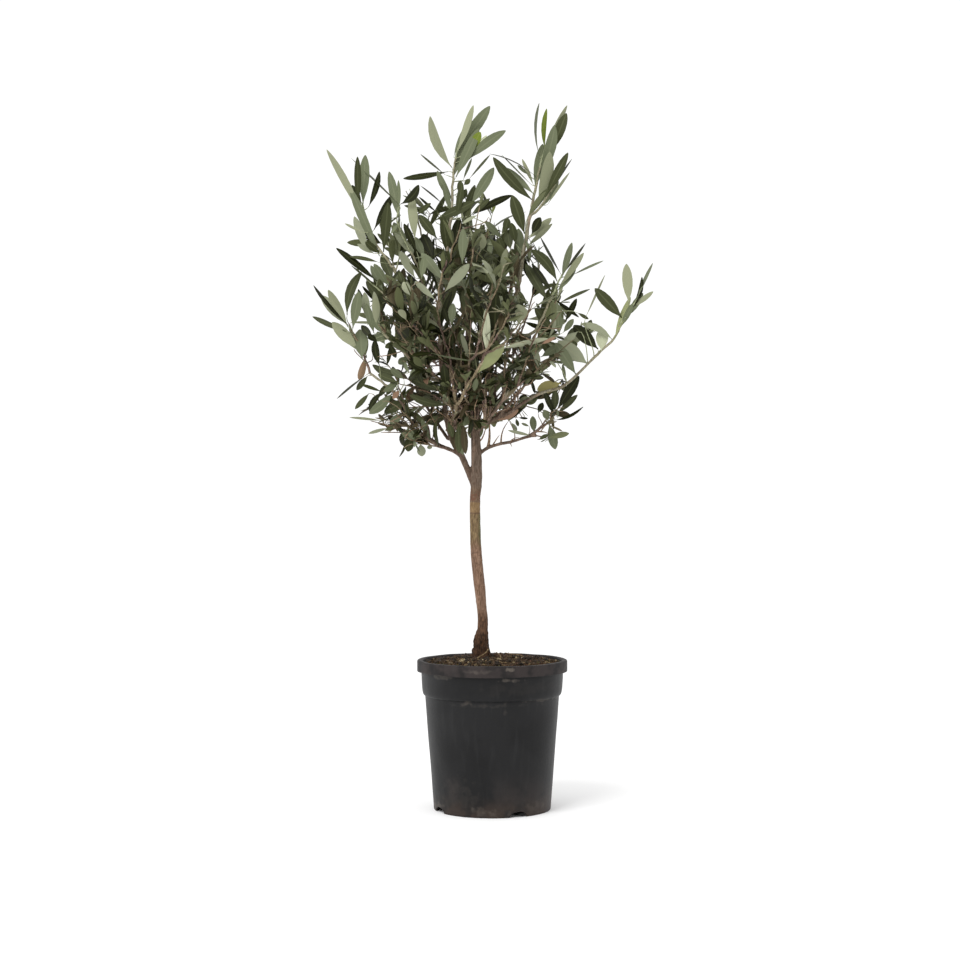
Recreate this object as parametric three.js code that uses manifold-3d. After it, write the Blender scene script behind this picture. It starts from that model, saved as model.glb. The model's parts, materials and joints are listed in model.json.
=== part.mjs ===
// A young olive tree on a single stem, potted in a round black nursery container.
//
// Millimetres, +Z up, +X to the right of the front, -Y to the front. The origin is the middle of
// the pot's flat underside, so the whole tree stands on the plane z = 0.
//
// Bearings are degrees round the upright, counted from +X towards +Y: 0 right, 90 back,
// 180 left, 270 front. Climbs are degrees above the horizon.

import * as THREE from "three";
import { mergeVertices } from "three/addons/utils/BufferGeometryUtils.js";
import Module from "manifold-3d";

const wasm = await Module();
wasm.setup();

// ---------------------------------------------------------------- driving sizes

const CLEARANCE = 0.4; // gap between pieces that grow out of, or rest against, each other

// Nursery pot: a tapered wall, a wider band under the lip, and a turned-down lip.
const POT_HEIGHT = 187;
const LIP_RADIUS = 95;
const LIP_HEIGHT = 14;
const BAND_RADIUS = 90;
const BAND_HEIGHT = 30;
const BAND_TAPER = 3.2; // how much narrower the band is at its foot
const BAND_STEP = 1.8; // how far the wall steps in under the band
const FOOT_RADIUS = 74;
const WALL = 1.8;
const FLOOR = 2.6;
const EDGE = 1.2; // bevel on every moulded corner
const POT_SIDES = 32;

// Drain notches: four arches cut through the corner between wall and floor.
const NOTCH_COUNT = 4;
const NOTCH_BEARING = -64; // the first one
const NOTCH_WIDTH = 24;
const NOTCH_HEIGHT = 7;
const NOTCH_DEPTH = 6; // inwards from the foot

// Potting mix: nearly brim-full, and heaped to a flat crown where the stem stands.
const SOIL_EDGE_HEIGHT = 180;
const SOIL_CROWN_HEIGHT = 189.6;
const SOIL_CROWN_RADIUS = 34;

// Stem: from a flat cut on the soil to the fork in the crown.
const GROUND = 190;
const STEM_X = -15.5;
const STEM_Y = 5;
const STEM_RADIUS = 6.6;
const STEM_TIP_RADIUS = 5.2;
const FLARE_RADIUS = 11.5; // at the ground
const FLARE_HEIGHT = 26;

// Crown: the upright that the foliage is laid out round.
const CROWN_X = -20;

const STEM_SIDES = 12;
const LIMB_SIDES = 7;
const RING_SPACING = 25; // between a limb's rings, along its length
const MASS_SLICES = 9;
const MASS_STACKS = 7;
const UNEVENNESS = 0.12; // how far a mass swells and dips, as a share of its girth
const FOOT_GIRTH = 1.25; // a mass is fuller towards its foot, among its neighbours
const TIP_GIRTH = 0.72; // and draws in towards its tip, as a leading shoot does

// ---------------------------------------------------------------- small helpers

const radians = THREE.MathUtils.degToRad;

// One closed surface: positions only, with the seam vertices of the geometry joined.
function solidOf(geometry) {
  const bare = new THREE.BufferGeometry();
  bare.setAttribute("position", geometry.getAttribute("position"));
  if (geometry.index) bare.setIndex(geometry.index);
  const merged = mergeVertices(bare, 1e-3);
  return new wasm.Manifold(
    new wasm.Mesh({
      numProp: 3,
      vertProperties: merged.getAttribute("position").array,
      triVerts: new Uint32Array(merged.index.array),
    }),
  );
}

function geometryOf(solid) {
  const mesh = solid.getMesh();
  const places = new Float32Array(mesh.numVert * 3);
  for (let i = 0; i < mesh.numVert; i++) {
    const start = i * mesh.numProp;
    places.set(mesh.vertProperties.subarray(start, start + 3), i * 3);
  }
  const geometry = new THREE.BufferGeometry();
  geometry.setAttribute("position", new THREE.BufferAttribute(places, 3));
  geometry.setIndex(new THREE.BufferAttribute(mesh.triVerts, 1));
  geometry.computeVertexNormals();
  return geometry;
}

// A cut can leave crumbs behind: only the biggest piece is kept.
function biggestPiece(solid) {
  const pieces = solid.decompose();
  return pieces.reduce((best, piece) => (piece.volume() > best.volume() ? piece : best));
}

// The direction that a bearing and a climb stand for.
function heading(bearing, climb) {
  const flat = Math.cos(radians(climb));
  return new THREE.Vector3(
    flat * Math.cos(radians(bearing)),
    flat * Math.sin(radians(bearing)),
    Math.sin(radians(climb)),
  );
}

// ---------------------------------------------------------------- pot and soil

const LIP_FOOT = POT_HEIGHT - LIP_HEIGHT;
const BAND_FOOT = LIP_FOOT - BAND_HEIGHT;
const BAND_FOOT_RADIUS = BAND_RADIUS - BAND_TAPER;

// The wall's outer radius at a height below the band.
function wallRadius(height) {
  return THREE.MathUtils.mapLinear(height, 0, BAND_FOOT, FOOT_RADIUS, BAND_FOOT_RADIUS - BAND_STEP);
}

// The wall's inner radius at a height inside the band, where the step below it has run out.
function bandInside(height) {
  const inside = [BAND_FOOT_RADIUS - WALL, BAND_RADIUS - WALL];
  return THREE.MathUtils.mapLinear(height, BAND_FOOT + BAND_STEP * 2, POT_HEIGHT - EDGE, ...inside);
}

// A solid of revolution about the upright, from points given as radius and height.
function turned(profile) {
  const points = profile.map(([radius, height]) => new THREE.Vector2(radius, height));
  return solidOf(new THREE.LatheGeometry(points, POT_SIDES).rotateX(Math.PI / 2));
}

function potSolid() {
  const outside = [
    [0, 0],
    [FOOT_RADIUS - EDGE, 0],
    [wallRadius(EDGE), EDGE],
    [wallRadius(BAND_FOOT), BAND_FOOT],
    [BAND_FOOT_RADIUS, BAND_FOOT + EDGE],
    [BAND_RADIUS, LIP_FOOT],
    [LIP_RADIUS, LIP_FOOT],
    [LIP_RADIUS, POT_HEIGHT - EDGE],
    [LIP_RADIUS - EDGE, POT_HEIGHT],
  ];
  const inside = [
    [BAND_RADIUS - WALL + EDGE, POT_HEIGHT],
    [bandInside(POT_HEIGHT - EDGE), POT_HEIGHT - EDGE],
    [bandInside(BAND_FOOT + BAND_STEP * 2), BAND_FOOT + BAND_STEP * 2],
    [wallRadius(BAND_FOOT) - WALL, BAND_FOOT - EDGE],
    [wallRadius(FLOOR) - WALL, FLOOR],
    [0, FLOOR],
  ];
  let pot = turned([...outside, ...inside]);
  for (let i = 0; i < NOTCH_COUNT; i++) {
    pot = pot.subtract(notchCutter(NOTCH_BEARING + (i * 360) / NOTCH_COUNT));
  }
  return pot;
}

// An arch-shaped cutter that reaches in through the foot of the wall.
function notchCutter(bearing) {
  const below = 2;
  const half = NOTCH_WIDTH / 2;
  const arch = new THREE.Shape();
  arch.moveTo(-half, -below);
  arch.lineTo(half, -below);
  arch.lineTo(half * 0.8, NOTCH_HEIGHT * 0.6);
  arch.lineTo(half * 0.5, NOTCH_HEIGHT);
  arch.lineTo(-half * 0.5, NOTCH_HEIGHT);
  arch.lineTo(-half * 0.8, NOTCH_HEIGHT * 0.6);
  arch.closePath();
  const cutter = new THREE.ExtrudeGeometry(arch, { depth: NOTCH_DEPTH + 6, bevelEnabled: false });
  cutter.rotateX(Math.PI / 2); // the arch stands up, and the cutter runs towards -Y
  cutter.translate(0, -(FOOT_RADIUS - NOTCH_DEPTH), 0);
  cutter.rotateZ(radians(bearing + 90));
  return solidOf(cutter);
}

// The mix fills the pot to just inside its wall.
function soilSolid() {
  const edgeRadius = bandInside(SOIL_EDGE_HEIGHT) - CLEARANCE;
  const shoulder = THREE.MathUtils.lerp(SOIL_EDGE_HEIGHT, SOIL_CROWN_HEIGHT, 0.65);
  const underBand = BAND_FOOT - EDGE * 2;
  return turned([
    [0, FLOOR + CLEARANCE],
    [wallRadius(FLOOR) - WALL - CLEARANCE, FLOOR + CLEARANCE],
    [wallRadius(underBand) - WALL - CLEARANCE, underBand],
    [edgeRadius, SOIL_EDGE_HEIGHT],
    [(edgeRadius + SOIL_CROWN_RADIUS) / 2, shoulder],
    [SOIL_CROWN_RADIUS, SOIL_CROWN_HEIGHT],
    [0, SOIL_CROWN_HEIGHT],
  ]);
}

// ---------------------------------------------------------------- limbs

// A tapering limb: a cylinder whose rings are carried along a curve.
function limbSolid({ curve, radiusAt, sides }, swell = 0) {
  const rings = Math.max(3, Math.round(curve.getLength() / RING_SPACING));
  const limb = new THREE.CylinderGeometry(1, 1, 1, sides, rings);
  const place = limb.getAttribute("position");
  const point = new THREE.Vector3();
  for (let i = 0; i < place.count; i++) {
    point.fromBufferAttribute(place, i);
    const along = THREE.MathUtils.clamp(point.y + 0.5, 0, 1);
    const forward = curve.getTangentAt(along);
    const side = new THREE.Vector3(0, 1, 0).cross(forward).normalize();
    const up = forward.clone().cross(side);
    const radius = radiusAt(along) + swell;
    const centre = curve.getPointAt(along);
    const past = along === 0 ? -swell : along === 1 ? swell : 0;
    centre.addScaledVector(forward, past);
    centre.addScaledVector(side, point.x * radius).addScaledVector(up, -point.z * radius);
    place.setXYZ(i, centre.x, centre.y, centre.z);
  }
  return solidOf(limb);
}

// A limb's centre line: it leaves `from` on one bearing and climb, and turns evenly to another.
function limbCurve(from, { length, bearing, climb }) {
  const steps = 12;
  const points = [from.clone()];
  for (let i = 0; i < steps; i++) {
    const share = (i + 0.5) / steps;
    const way = heading(
      THREE.MathUtils.lerp(bearing[0], bearing[1], share),
      THREE.MathUtils.lerp(climb[0], climb[1], share),
    );
    points.push(points[i].clone().addScaledVector(way, length / steps));
  }
  return new THREE.CatmullRomCurve3(points);
}

// The stem bows to the right above its foot, then back to the left, and forks in the crown.
const STEM_BENDS = [
  [STEM_X, STEM_Y, GROUND],
  [STEM_X, STEM_Y, GROUND + 6],
  [-13.5, 3, 250],
  [-19, 0, 315],
  [-21.5, 0, 372],
  [-21, 0, 430],
  [-22.5, 0, 492],
];

function stemRadius(along) {
  const risen = along * (STEM_BENDS.at(-1)[2] - GROUND);
  const flare = (FLARE_RADIUS - STEM_RADIUS) * Math.exp(-((risen / FLARE_HEIGHT) ** 2) * 2.2);
  return THREE.MathUtils.lerp(STEM_RADIUS, STEM_TIP_RADIUS, along) + flare;
}

// Each bough leaves its parent at a share of the parent's length. One with `ends_in` stops where it
// enters that mass, and every other mass is cut round it.
const BOUGHS = {
  leader_left: {
    parent: "trunk", at: 0.735, length: 100, bearing: [182, 170], climb: [52, 82], radius: [4.6, 3.6],
    ends_in: "foliage_heart_low",
  },
  bough_left_low: {
    parent: "leader_left", at: 0.36, length: 96, bearing: [186, 176], climb: [38, 8], radius: [2.7, 1.8],
    ends_in: "foliage_left_low",
  },
  bough_right_low: {
    parent: "trunk", at: 0.85, length: 124, bearing: [-6, 4], climb: [12, 30], radius: [2.6, 1.6],
    ends_in: "foliage_right_low",
  },
  stem_right: {
    parent: "trunk", at: 0.9, length: 86, bearing: [10, -8], climb: [66, 78], radius: [2.9, 2.2],
    ends_in: "foliage_body_low_right",
  },
  bough_right_long: {
    parent: "trunk", at: 0.965, length: 236, bearing: [-26, 26], climb: [10, 62], radius: [3.0, 1.5],
    ends_in: "foliage_right_far",
  },
  fork_left: {
    parent: "trunk", at: 0.97, length: 70, bearing: [150, 165], climb: [50, 66], radius: [3.3, 2.6],
    ends_in: "foliage_body_low_left",
  },
  bough_front: {
    parent: "leader_left", at: 0.62, length: 120, bearing: [285, 262], climb: [48, 60], radius: [2.5, 1.7],
    ends_in: "foliage_front_low",
  },
  bough_front_right: {
    parent: "trunk", at: 0.93, length: 120, bearing: [300, 318], climb: [30, 52], radius: [2.6, 1.7],
    ends_in: "foliage_front_right",
  },
  bough_back: {
    parent: "trunk", at: 0.9, length: 110, bearing: [78, 96], climb: [36, 42], radius: [2.8, 1.8],
    ends_in: "foliage_back_low",
  },
  bough_back_left: {
    parent: "leader_left", at: 0.5, length: 120, bearing: [120, 140], climb: [34, 54], radius: [2.6, 1.7],
    ends_in: "foliage_back_left",
  },
};

// ---------------------------------------------------------------- foliage

// Each mass lies along one leading shoot, from `foot` to `tip`, both given as distance out from the
// crown's upright and height above the ground plane, on one bearing. Girth is its half thickness.
const MASSES = {
  top_centre: { bearing: 180, foot: [8, 716], tip: [6, 893], girth: 50 },
  top_right: { bearing: -8, foot: [58, 706], tip: [92, 895], girth: 44 },
  top_left: { bearing: 183, foot: [90, 672], tip: [190, 836], girth: 39 },
  inner_top_left: { bearing: 164, foot: [52, 660], tip: [98, 822], girth: 44 },
  left_high: { bearing: 190, foot: [66, 612], tip: [184, 708], girth: 42 },
  left_far: { bearing: 176, foot: [80, 560], tip: [208, 664], girth: 47 },
  left_low: { bearing: 184, foot: [62, 512], tip: [182, 494], girth: 42 },
  left_tuft: { bearing: 200, foot: [58, 494], tip: [108, 446], girth: 23 },
  right_far: { bearing: -3, foot: [132, 574], tip: [224, 696], girth: 36 },
  right_high: { bearing: -10, foot: [64, 606], tip: [144, 724], girth: 42 },
  right_mid: { bearing: 12, foot: [62, 556], tip: [166, 614], girth: 42 },
  right_low: { bearing: -2, foot: [70, 492], tip: [140, 498], girth: 33 },
  heart_high: { bearing: 90, foot: [0, 626], tip: [4, 800], girth: 66 },
  heart_low: { bearing: 270, foot: [-4, 506], tip: [6, 660], girth: 50 },
  body_left: { bearing: 180, foot: [16, 566], tip: [104, 716], girth: 56 },
  body_right: { bearing: 0, foot: [16, 566], tip: [84, 734], girth: 54 },
  body_low_left: { bearing: 172, foot: [24, 492], tip: [120, 600], girth: 46 },
  body_low_right: { bearing: 8, foot: [22, 500], tip: [108, 588], girth: 42 },
  front_high: { bearing: 272, foot: [36, 636], tip: [122, 786], girth: 52 },
  front_left: { bearing: 228, foot: [40, 540], tip: [168, 656], girth: 54 },
  front_right: { bearing: 318, foot: [40, 540], tip: [166, 644], girth: 52 },
  front_low: { bearing: 262, foot: [40, 500], tip: [154, 552], girth: 42 },
  front_far: { bearing: 280, foot: [80, 566], tip: [206, 668], girth: 46 },
  back_high: { bearing: 96, foot: [38, 636], tip: [128, 812], girth: 54 },
  back_left: { bearing: 132, foot: [42, 552], tip: [182, 690], girth: 56 },
  back_right: { bearing: 46, foot: [42, 554], tip: [180, 676], girth: 56 },
  back_low: { bearing: 92, foot: [38, 500], tip: [158, 550], girth: 46 },
  back_far: { bearing: 80, foot: [84, 570], tip: [210, 676], girth: 48 },
};

function massEnd([reach, height], bearing) {
  return new THREE.Vector3(CROWN_X, 0, height).addScaledVector(heading(bearing, 0), reach);
}

// A lobed spindle: a sphere drawn out between the two ends, with its poles at them.
function massSolid({ bearing, foot, tip, girth }, number, swell = 0) {
  const low = massEnd(foot, bearing);
  const high = massEnd(tip, bearing);
  const axis = high.clone().sub(low).normalize();
  low.addScaledVector(axis, -swell);
  high.addScaledVector(axis, swell);
  const side = heading(bearing + 90, 0);
  const over = axis.clone().cross(side).negate();
  const ball = new THREE.SphereGeometry(1, MASS_SLICES, MASS_STACKS);
  const place = ball.getAttribute("position");
  const point = new THREE.Vector3();
  for (let i = 0; i < place.count; i++) {
    point.fromBufferAttribute(place, i);
    const along = (point.y + 1) / 2;
    const round = Math.atan2(point.z, point.x);
    const lobes = Math.sin(2 * round + 1.7 * number) + Math.sin(3 * round - 2.3 * number + 6 * along);
    const fullness = THREE.MathUtils.lerp(FOOT_GIRTH, TIP_GIRTH, along);
    const radius = girth * fullness * (1 + UNEVENNESS * lobes) + swell * 1.6;
    const spot = low.clone().lerp(high, along);
    spot.addScaledVector(side, point.x * radius).addScaledVector(over, point.z * radius);
    place.setXYZ(i, spot.x, spot.y, spot.z);
  }
  return solidOf(ball);
}

// ---------------------------------------------------------------- grow the tree

function cutBy(solid, cutters) {
  return biggestPiece(cutters.reduce((rest, cutter) => rest.subtract(cutter), solid));
}

// Each limb is cut back at its foot by the limbs that were there before it.
function growLimbs() {
  const stem = new THREE.CatmullRomCurve3(STEM_BENDS.map((bend) => new THREE.Vector3(...bend)));
  const limbs = { trunk: { curve: stem, radiusAt: stemRadius, sides: STEM_SIDES } };
  limbs.trunk.solid = limbSolid(limbs.trunk);
  for (const [name, bough] of Object.entries(BOUGHS)) {
    const limb = {
      curve: limbCurve(limbs[bough.parent].curve.getPointAt(bough.at), bough),
      radiusAt: (along) => THREE.MathUtils.lerp(bough.radius[0], bough.radius[1], along),
      sides: LIMB_SIDES,
      ends_in: bough.ends_in,
    };
    const earlier = Object.values(limbs).map((other) => limbSolid(other, CLEARANCE));
    limb.solid = cutBy(limbSolid(limb), earlier);
    limbs[name] = limb;
  }
  return limbs;
}

// Each mass gives way to the masses before it, and to every limb that only passes through.
function growMasses(limbs) {
  const masses = {};
  Object.entries(MASSES).forEach(([place, mass], number) => {
    const name = `foliage_${place}`;
    const earlier = Object.values(masses).map((other) => other.swollen);
    const passing = Object.values(limbs).filter((limb) => limb.ends_in !== name);
    const cutters = [...earlier, ...passing.map((limb) => limbSolid(limb, CLEARANCE))];
    masses[name] = {
      solid: cutBy(massSolid(mass, number), cutters),
      swollen: massSolid(mass, number, CLEARANCE),
    };
  });
  return masses;
}

function endLimbs(limbs, masses) {
  for (const limb of Object.values(limbs)) {
    if (limb.ends_in) limb.solid = cutBy(limb.solid, [masses[limb.ends_in].swollen]);
  }
}

// ---------------------------------------------------------------- materials and assembly

const PLASTIC = { color: 0x2e2e2f, roughness: 0.5, metalness: 0 };
const MIX = { color: 0x3f2d20, roughness: 0.95, metalness: 0 };
const BARK = { color: 0x7d6656, roughness: 0.85, metalness: 0 };
const LEAVES = { color: 0x5c6a50, roughness: 0.6, metalness: 0 };

const tree = new THREE.Group();

function add(name, solid, finish) {
  const mesh = new THREE.Mesh(geometryOf(solid), new THREE.MeshStandardMaterial(finish));
  mesh.name = name;
  tree.add(mesh);
}

const limbs = growLimbs();
const masses = growMasses(limbs);
endLimbs(limbs, masses);

add("pot", potSolid(), PLASTIC);
add("soil", soilSolid(), MIX);
for (const [name, limb] of Object.entries(limbs)) {
  add(name, limb.solid, BARK);
}
for (const [name, mass] of Object.entries(masses)) {
  add(name, mass.solid, LEAVES);
}

export default tree;
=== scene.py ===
# %% [markdown]
# # A young olive tree in a nursery pot
#
# The real thing is a young olive on one slender stem, standing in a black moulded pot. Its crown is
# a loose ball of thin shoots that carry narrow leaves in pairs, dark grey-green above and silvery
# below. The packed model holds it as plain solids: a pot, a plug of compost, a stem with its main
# boughs, and 28 lumps that mark how far each spray of leaves reaches.
#
# This lesson keeps those solids as a frame and grows the looks inside them. Everything is in metres,
# in the frame's own place, so nothing has to be fitted afterwards.

import json
import math

import bpy
import numpy as np
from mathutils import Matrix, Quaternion, Vector
from mathutils.bvhtree import BVHTree
from mathutils.kdtree import KDTree

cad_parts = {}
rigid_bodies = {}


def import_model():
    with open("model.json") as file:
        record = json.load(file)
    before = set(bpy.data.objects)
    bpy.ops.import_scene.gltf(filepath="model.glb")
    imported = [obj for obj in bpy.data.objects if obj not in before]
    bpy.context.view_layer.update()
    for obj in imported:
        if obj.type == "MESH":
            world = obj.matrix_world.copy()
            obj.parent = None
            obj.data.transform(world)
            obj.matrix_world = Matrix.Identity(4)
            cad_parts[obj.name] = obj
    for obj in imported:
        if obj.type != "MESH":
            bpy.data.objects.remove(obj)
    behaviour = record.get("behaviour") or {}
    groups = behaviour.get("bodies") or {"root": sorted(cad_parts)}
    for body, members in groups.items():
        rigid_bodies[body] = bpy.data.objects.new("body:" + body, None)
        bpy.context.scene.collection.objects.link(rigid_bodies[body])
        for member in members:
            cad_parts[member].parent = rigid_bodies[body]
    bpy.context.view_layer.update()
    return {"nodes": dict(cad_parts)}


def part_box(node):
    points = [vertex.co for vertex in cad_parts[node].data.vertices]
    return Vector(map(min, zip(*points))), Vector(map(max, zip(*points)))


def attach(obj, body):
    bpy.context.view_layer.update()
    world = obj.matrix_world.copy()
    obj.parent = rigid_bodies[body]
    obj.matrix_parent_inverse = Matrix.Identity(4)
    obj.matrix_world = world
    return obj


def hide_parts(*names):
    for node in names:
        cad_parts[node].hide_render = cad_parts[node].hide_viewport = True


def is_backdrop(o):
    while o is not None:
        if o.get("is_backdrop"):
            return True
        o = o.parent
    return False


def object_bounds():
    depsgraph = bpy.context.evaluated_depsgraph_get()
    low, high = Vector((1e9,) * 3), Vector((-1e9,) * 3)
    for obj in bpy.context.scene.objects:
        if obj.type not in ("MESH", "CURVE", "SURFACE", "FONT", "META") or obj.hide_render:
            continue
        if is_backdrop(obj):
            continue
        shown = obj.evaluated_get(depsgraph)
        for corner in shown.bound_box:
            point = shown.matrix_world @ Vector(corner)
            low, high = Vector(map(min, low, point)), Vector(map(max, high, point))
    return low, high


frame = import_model()
MM = 0.001
luck = np.random.default_rng(41)

# %% [markdown]
# ## Helpers for modelling as by hand
#
# Blender's operators act on whatever is selected, and loading the frame leaves its solids selected.
# So each piece starts by clearing the selection. A finished piece keeps its place in its mesh, with
# its object at the origin, as the frame's own solids do: patterns then stay put on export.


# %% Selection and modifiers
def start_piece():
    if bpy.context.object and bpy.context.object.mode != "OBJECT":
        bpy.ops.object.mode_set(mode="OBJECT")
    bpy.ops.object.select_all(action="DESELECT")


def pick_only(piece):
    start_piece()
    piece.select_set(True)
    bpy.context.view_layer.objects.active = piece


def edit_all(piece):
    pick_only(piece)
    bpy.ops.object.mode_set(mode="EDIT")
    bpy.ops.mesh.select_all(action="SELECT")


def leave_edit():
    bpy.ops.object.mode_set(mode="OBJECT")


def extrude_on(step, stretch, middle):
    """Extrudes the selected ring by a step, then stretches it about a middle."""
    bpy.ops.mesh.extrude_region()
    bpy.ops.transform.translate(value=step)
    bpy.ops.transform.resize(value=stretch, center_override=middle)


def close_up():
    """Turns all faces outwards and leaves edit mode."""
    bpy.ops.mesh.select_all(action="SELECT")
    bpy.ops.mesh.normals_make_consistent(inside=False)
    leave_edit()


def put_modifier(piece, kind, **settings):
    """Adds a modifier, sets it up and applies it."""
    pick_only(piece)
    modifier = piece.modifiers.new(kind.lower(), kind)
    for key, value in settings.items():
        setattr(modifier, key, value)
    bpy.ops.object.modifier_apply(modifier=modifier.name)


# %% Finished pieces
def finish_piece(piece, name, nodes=()):
    pick_only(piece)
    bpy.ops.object.transform_apply(location=True, rotation=True, scale=True)
    piece.name = name
    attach(piece, "root")
    if nodes:
        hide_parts(*nodes)
    print(name, "faces", len(piece.data.polygons))


def copied(faces, points, copies):
    """The faces of a number of copies of a shape, each with as many points as the shape."""
    return [tuple(i * points + corner for corner in face) for i in range(copies) for face in faces]


def mesh_piece(name, places, faces, tints, materials):
    """One joined mesh from arrays: places, faces, and which material each face takes."""
    mesh = bpy.data.meshes.new(name)
    mesh.from_pydata(places.tolist(), [], faces)
    for material in materials:
        mesh.materials.append(material)
    mesh.polygons.foreach_set("material_index", np.asarray(tints, dtype=np.int32))
    mesh.polygons.foreach_set("use_smooth", np.ones(len(faces), dtype=bool))
    mesh.update()
    piece = bpy.data.objects.new(name, mesh)
    bpy.context.scene.collection.objects.link(piece)
    return piece


# %% [markdown]
# ## Camera, floor and light
#
# The tree is seen level, from the height of its stem, a little over two metres away. A long lens
# keeps the pot's sides straight. The floor and the surroundings are almost white, and one big soft
# light from the upper left front gives the leaves and the pot a gentle modelling.

# %% Camera
CAMERA_AWAY = 2.4
CAMERA_HEIGHT = 0.416
CAMERA_SIDE = -0.0156
LENS = 71

start_piece()
bpy.ops.object.camera_add(
    location=(CAMERA_SIDE, -CAMERA_AWAY, CAMERA_HEIGHT), rotation=(math.radians(90), 0, 0)
)
camera = bpy.context.object
camera.data.lens = LENS
bpy.context.scene.camera = camera
print("camera", tuple(round(c, 3) for c in camera.location))

# %% Light and surroundings
WORLD_LEVEL = 1.06
KEY_WATTS = 46
KEY_SIZE = 1.4
KEY_PLACE = Vector((-1.3, -1.9, 2.3))
KEY_AIM = Vector((0, 0, 0.55))

start_piece()
bpy.ops.object.light_add(type="AREA", location=KEY_PLACE)
key = bpy.context.object
key.data.size = KEY_SIZE
key.data.energy = KEY_WATTS
key.rotation_euler = (KEY_AIM - KEY_PLACE).to_track_quat("-Z", "Y").to_euler()

world = bpy.data.worlds.new("pale_room")
world.use_nodes = True
surroundings = world.node_tree.nodes["Background"]
surroundings.inputs["Color"].default_value = (1, 1, 1, 1)
surroundings.inputs["Strength"].default_value = WORLD_LEVEL
bpy.context.scene.world = world
bpy.context.scene.view_settings.view_transform = "Standard"
print("key light", KEY_WATTS, "W")

# %% [markdown]
# ## Writing materials as sums
#
# A procedural material is a sum of patterns: a colour here, a little more roughness there. The class
# below wraps one output of a node, so that `1 - mask * 0.5` adds the Math nodes for us. Any other
# node comes from its `node` method, which takes the node's type, its settings and its inputs, and
# the patterns that are used again and again, such as noise and smooth steps, have short names.


# %% A wrapped socket
OBJECT_PLACES = 3  # the output of a TexCoord node that gives object coordinates
MIX_SHARE, MIX_UNDER, MIX_OVER, MIX_OUT = 0, 6, 7, 2  # sockets of a Mix node, for colours


class Field:
    """An output socket of a material. Sums and products of fields add Math nodes."""

    def __init__(self, tree, socket=None):
        self.tree = tree
        self.socket = socket

    def node(self, kind, settings=None, inputs=None, out=0):
        made = self.tree.nodes.new("ShaderNode" + kind)
        for key, value in (settings or {}).items():
            setattr(made, key, value)
        for key, value in (inputs or {}).items():
            self.feed(made.inputs[key], value)
        return Field(self.tree, made.outputs[out])

    def feed(self, socket, value):
        if isinstance(value, Field):
            self.tree.links.new(value.socket, socket)
        else:
            socket.default_value = value

    def sum_node(self, operation, first, second=0.0):
        return self.node("Math", {"operation": operation}, {0: first, 1: second})

    def __add__(self, other):
        return self.sum_node("ADD", self, other)

    def __radd__(self, other):
        return self.sum_node("ADD", other, self)

    def __sub__(self, other):
        return self.sum_node("SUBTRACT", self, other)

    def __rsub__(self, other):
        return self.sum_node("SUBTRACT", other, self)

    def __mul__(self, other):
        return self.sum_node("MULTIPLY", self, other)

    def __rmul__(self, other):
        return self.sum_node("MULTIPLY", other, self)

    def root(self):
        return self.sum_node("SQRT", self)

    def step(self, start, end):
        """0 below start, 1 above end, and a smooth rise between. start may be above end."""
        low, high = sorted((start, end))
        smooth = {"interpolation_type": "SMOOTHSTEP"}
        risen = self.node("MapRange", smooth, {"Value": self, "From Min": low, "From Max": high})
        return risen if start < end else 1 - risen

    def mix(self, under, over):
        """The colour `under`, covered by the colour `over` where this field is 1."""
        inputs = {MIX_SHARE: self, MIX_UNDER: under, MIX_OVER: over}
        return self.node("Mix", {"data_type": "RGBA"}, inputs, MIX_OUT)

    def noise(self, scale, detail):
        """Noise, read at the places in this field."""
        return self.node("TexNoise", inputs={"Vector": self, "Scale": scale, "Detail": detail})

    def drawn_out(self, share):
        """Places with their heights squeezed, which draws out what is read there."""
        return self.node("VectorMath", {"operation": "MULTIPLY"}, {0: self, 1: (1, 1, share)})

    def axis(self, number):
        """One axis of the places in this field, in mm."""
        return self.node("SeparateXYZ", inputs={0: self}, out=number) * 1000


print("a field has", [name for name in vars(Field) if name[0] != "_"])

# %% Materials and colours
def new_material(name, roughness, shine):
    """A material, its shader, and the field of object coordinates that its sums start from."""
    material = bpy.data.materials.new(name)
    material.use_nodes = True
    shader = material.node_tree.nodes["Principled BSDF"]
    shader.inputs["Roughness"].default_value = roughness
    shader.inputs["Specular IOR Level"].default_value = shine
    return material, shader, Field(material.node_tree).node("TexCoord", out=OBJECT_PLACES)


def put_colours(shader, colour, strength, distance, height):
    """Feeds a shader its colour, and a bump from a field of heights."""
    colour.feed(shader.inputs["Base Color"], colour)
    bump = colour.node("Bump", inputs={"Strength": strength, "Distance": distance, "Height": height})
    colour.feed(shader.inputs["Normal"], bump)


def srgb(*values):
    """A colour given as 0-255 values, as a linear colour for a socket."""
    scaled = [value / 255 for value in values]
    linear = [v / 12.92 if v <= 0.04045 else ((v + 0.055) / 1.055) ** 2.4 for v in scaled]
    return (*linear, 1.0)


def plain_material(name, colour, roughness, shine):
    material, shader, _ = new_material(name, roughness, shine)
    shader.inputs["Base Color"].default_value = srgb(*colour)
    return material


print("middle grey, linear:", round(srgb(128, 128, 128)[0], 3))

# %% Floor
start_piece()
bpy.ops.mesh.primitive_plane_add(size=14, location=(0, 0, 0))
floor = bpy.context.object
floor.name = "floor"
floor.data.materials.append(plain_material("pale_floor", (252, 252, 252), 0.9, 0))
floor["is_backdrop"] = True
print("floor laid")

# %% [markdown]
# ## Reading the limbs off the frame
#
# The new bark and every shoot have to follow the frame's stem and boughs. A limb's middle line is
# read by slicing its solid: a plane across the line between its two ends cuts its edges in a ring of
# points, whose mean is the limb's middle there, and whose distance from it is the limb's radius.

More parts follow.
